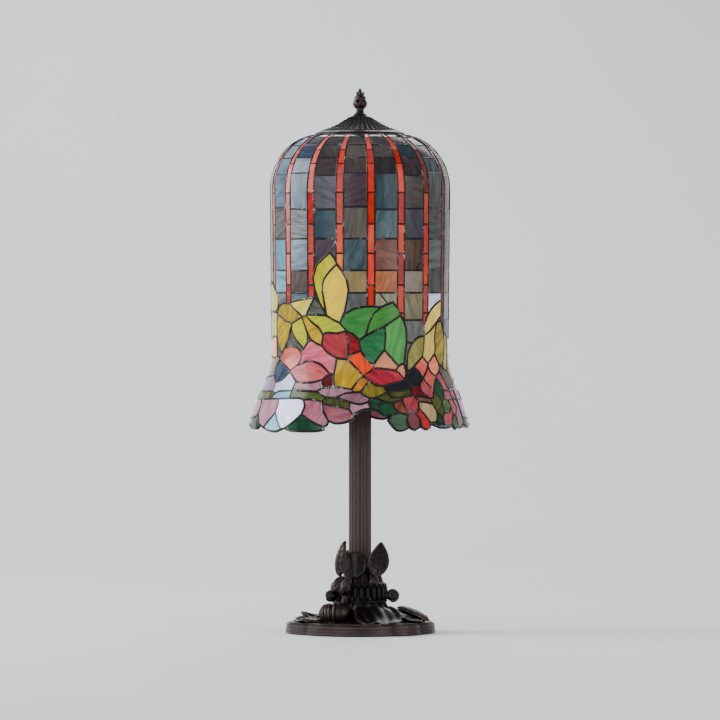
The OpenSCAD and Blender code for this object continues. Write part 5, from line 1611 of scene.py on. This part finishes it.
FINIAL_CORE = [(0.1, 755.9), (6.4, 755.9), (6.6, 757), (6.2, 759), (6.8, 762), (6.8, 765),
               (6.0, 769), (5.2, 772), (4.6, 776), (3.4, 780), (2.0, 783.5), (1.0, 786),
               (0.2, 787)]


def build_finial():
    """Rows of petals round a pointed bud."""

    def twisted(a, r, z):
        twist = 0.10 * smooth_step((z - 774) / 4) * math.cos(5 * a + 0.35 * (z - 774))
        return (r * (1 + twist), z)

    soup = Soup()
    revolve(soup, FINIAL_CORE, 36, twisted)
    for count, radius, low, reach, tall, width, start in (
            (6, 6.4, 756.4, 4.1, 12, 10, 12), (6, 5.4, 764.5, 3.0, 10.5, 8, 42),
            (5, 3.8, 772, 2.3, 9, 6, 12)):
        for k in range(count):
            angle = start + 360 * k / count
            foot = round_about(angle, radius - 1, low)

            def petal(u, v, angle=angle, foot=foot):
                half = width / 2 * max(0.05, math.sin(math.pi * (0.12 + 0.86 * u))) ** 0.7
                out = outward(angle)
                across = UP.cross(out)
                bulge = reach * math.sin(math.pi * min(1, u * 0.86)) + 1.6 * u ** 4
                return foot + out * (bulge - 0.9 * v * v) + across * v * half + Vector(
                    (0, 0, tall * u))

            sheet(soup, petal, 1.5, 10, 8, 0.5)
    soup.build("bud_finial", BRONZE, 50, "finial", "bronze", "finial")


for build in (build_mound, build_pads, build_leaves, build_buds, build_collar, build_cap,
              build_finial):
    build()

# ---- Floor, lights and camera ----------------------------------------------------------------

def floor_material():
    """Plain pale grey."""
    m = Shader("studio_floor", Roughness=0.7)
    m.set("Base Color", m.ramp(m.noise(m.coords(), 1.5, 2.0), (0.3, (0.74, 0.74, 0.74)),
                               (0.7, (0.78, 0.78, 0.78))))
    return m.material


def stage_floor():
    """A pale floor that sweeps up behind the lamp."""
    depth, rise, bend = 3.2, 4.0, 1.2
    line = [(-8.0, 0.0), (depth - bend, 0.0)]
    for i in range(1, 13):
        a = math.pi / 2 * i / 12
        line.append((depth - bend + bend * math.sin(a), bend - bend * math.cos(a)))
    line.append((depth, rise))
    verts = [(x, y, z) for y, z in line for x in (-9.0, 9.0)]
    faces = [[2 * i, 2 * i + 1, 2 * i + 3, 2 * i + 2] for i in range(len(line) - 1)]
    floor = new_object("floor", verts, faces, floor_material())


def area_light(name, at, target, size, power, colour=(1, 1, 1)):
    """A rectangular light that faces the target."""
    data = bpy.data.lights.new(name, "AREA")
    data.shape = "RECTANGLE"
    data.size, data.size_y = size
    data.energy = power
    data.color = colour
    light = bpy.data.objects.new(name, data)
    light.location = at
    light.rotation_euler = (Vector(target) - Vector(at)).to_track_quat("-Z", "Y").to_euler()
    bpy.context.scene.collection.objects.link(light)


stage_floor()
CENTRE = (0, 0, 0.45)
area_light("window_left", (-3.3, 0.1, 1.7), CENTRE, (2.0, 2.4), 190, (0.93, 0.97, 1.0))
area_light("fill_left", (-2.2, -4.0, 1.6), CENTRE, (2.8, 2.8), 75, (0.97, 0.98, 1.0))
area_light("fill_right", (2.8, -2.4, 1.2), CENTRE, (2.4, 2.4), 60, (1.0, 0.96, 0.92))
area_light("top", (0.0, -0.2, 3.2), CENTRE, (2.4, 2.4), 26)
area_light("back", (0.6, 2.4, 2.2), CENTRE, (2.2, 1.4), 30)

world = bpy.data.worlds.new("studio")
bpy.context.scene.world = world
world.use_nodes = True
world.node_tree.nodes["Background"].inputs["Color"].default_value = (0.80, 0.84, 0.90, 1)
world.node_tree.nodes["Background"].inputs["Strength"].default_value = 0.55

camera_data = bpy.data.cameras.new("camera")
camera_data.sensor_width = 36
camera_data.lens = 277
camera = bpy.data.objects.new("camera", camera_data)
camera.location = (0, -8.0, 0.488)
camera.rotation_euler = (Vector((0, 0, 0.394)) - camera.location).to_track_quat(
    "-Z", "Y").to_euler()
bpy.context.scene.collection.objects.link(camera)
bpy.context.scene.camera = camera
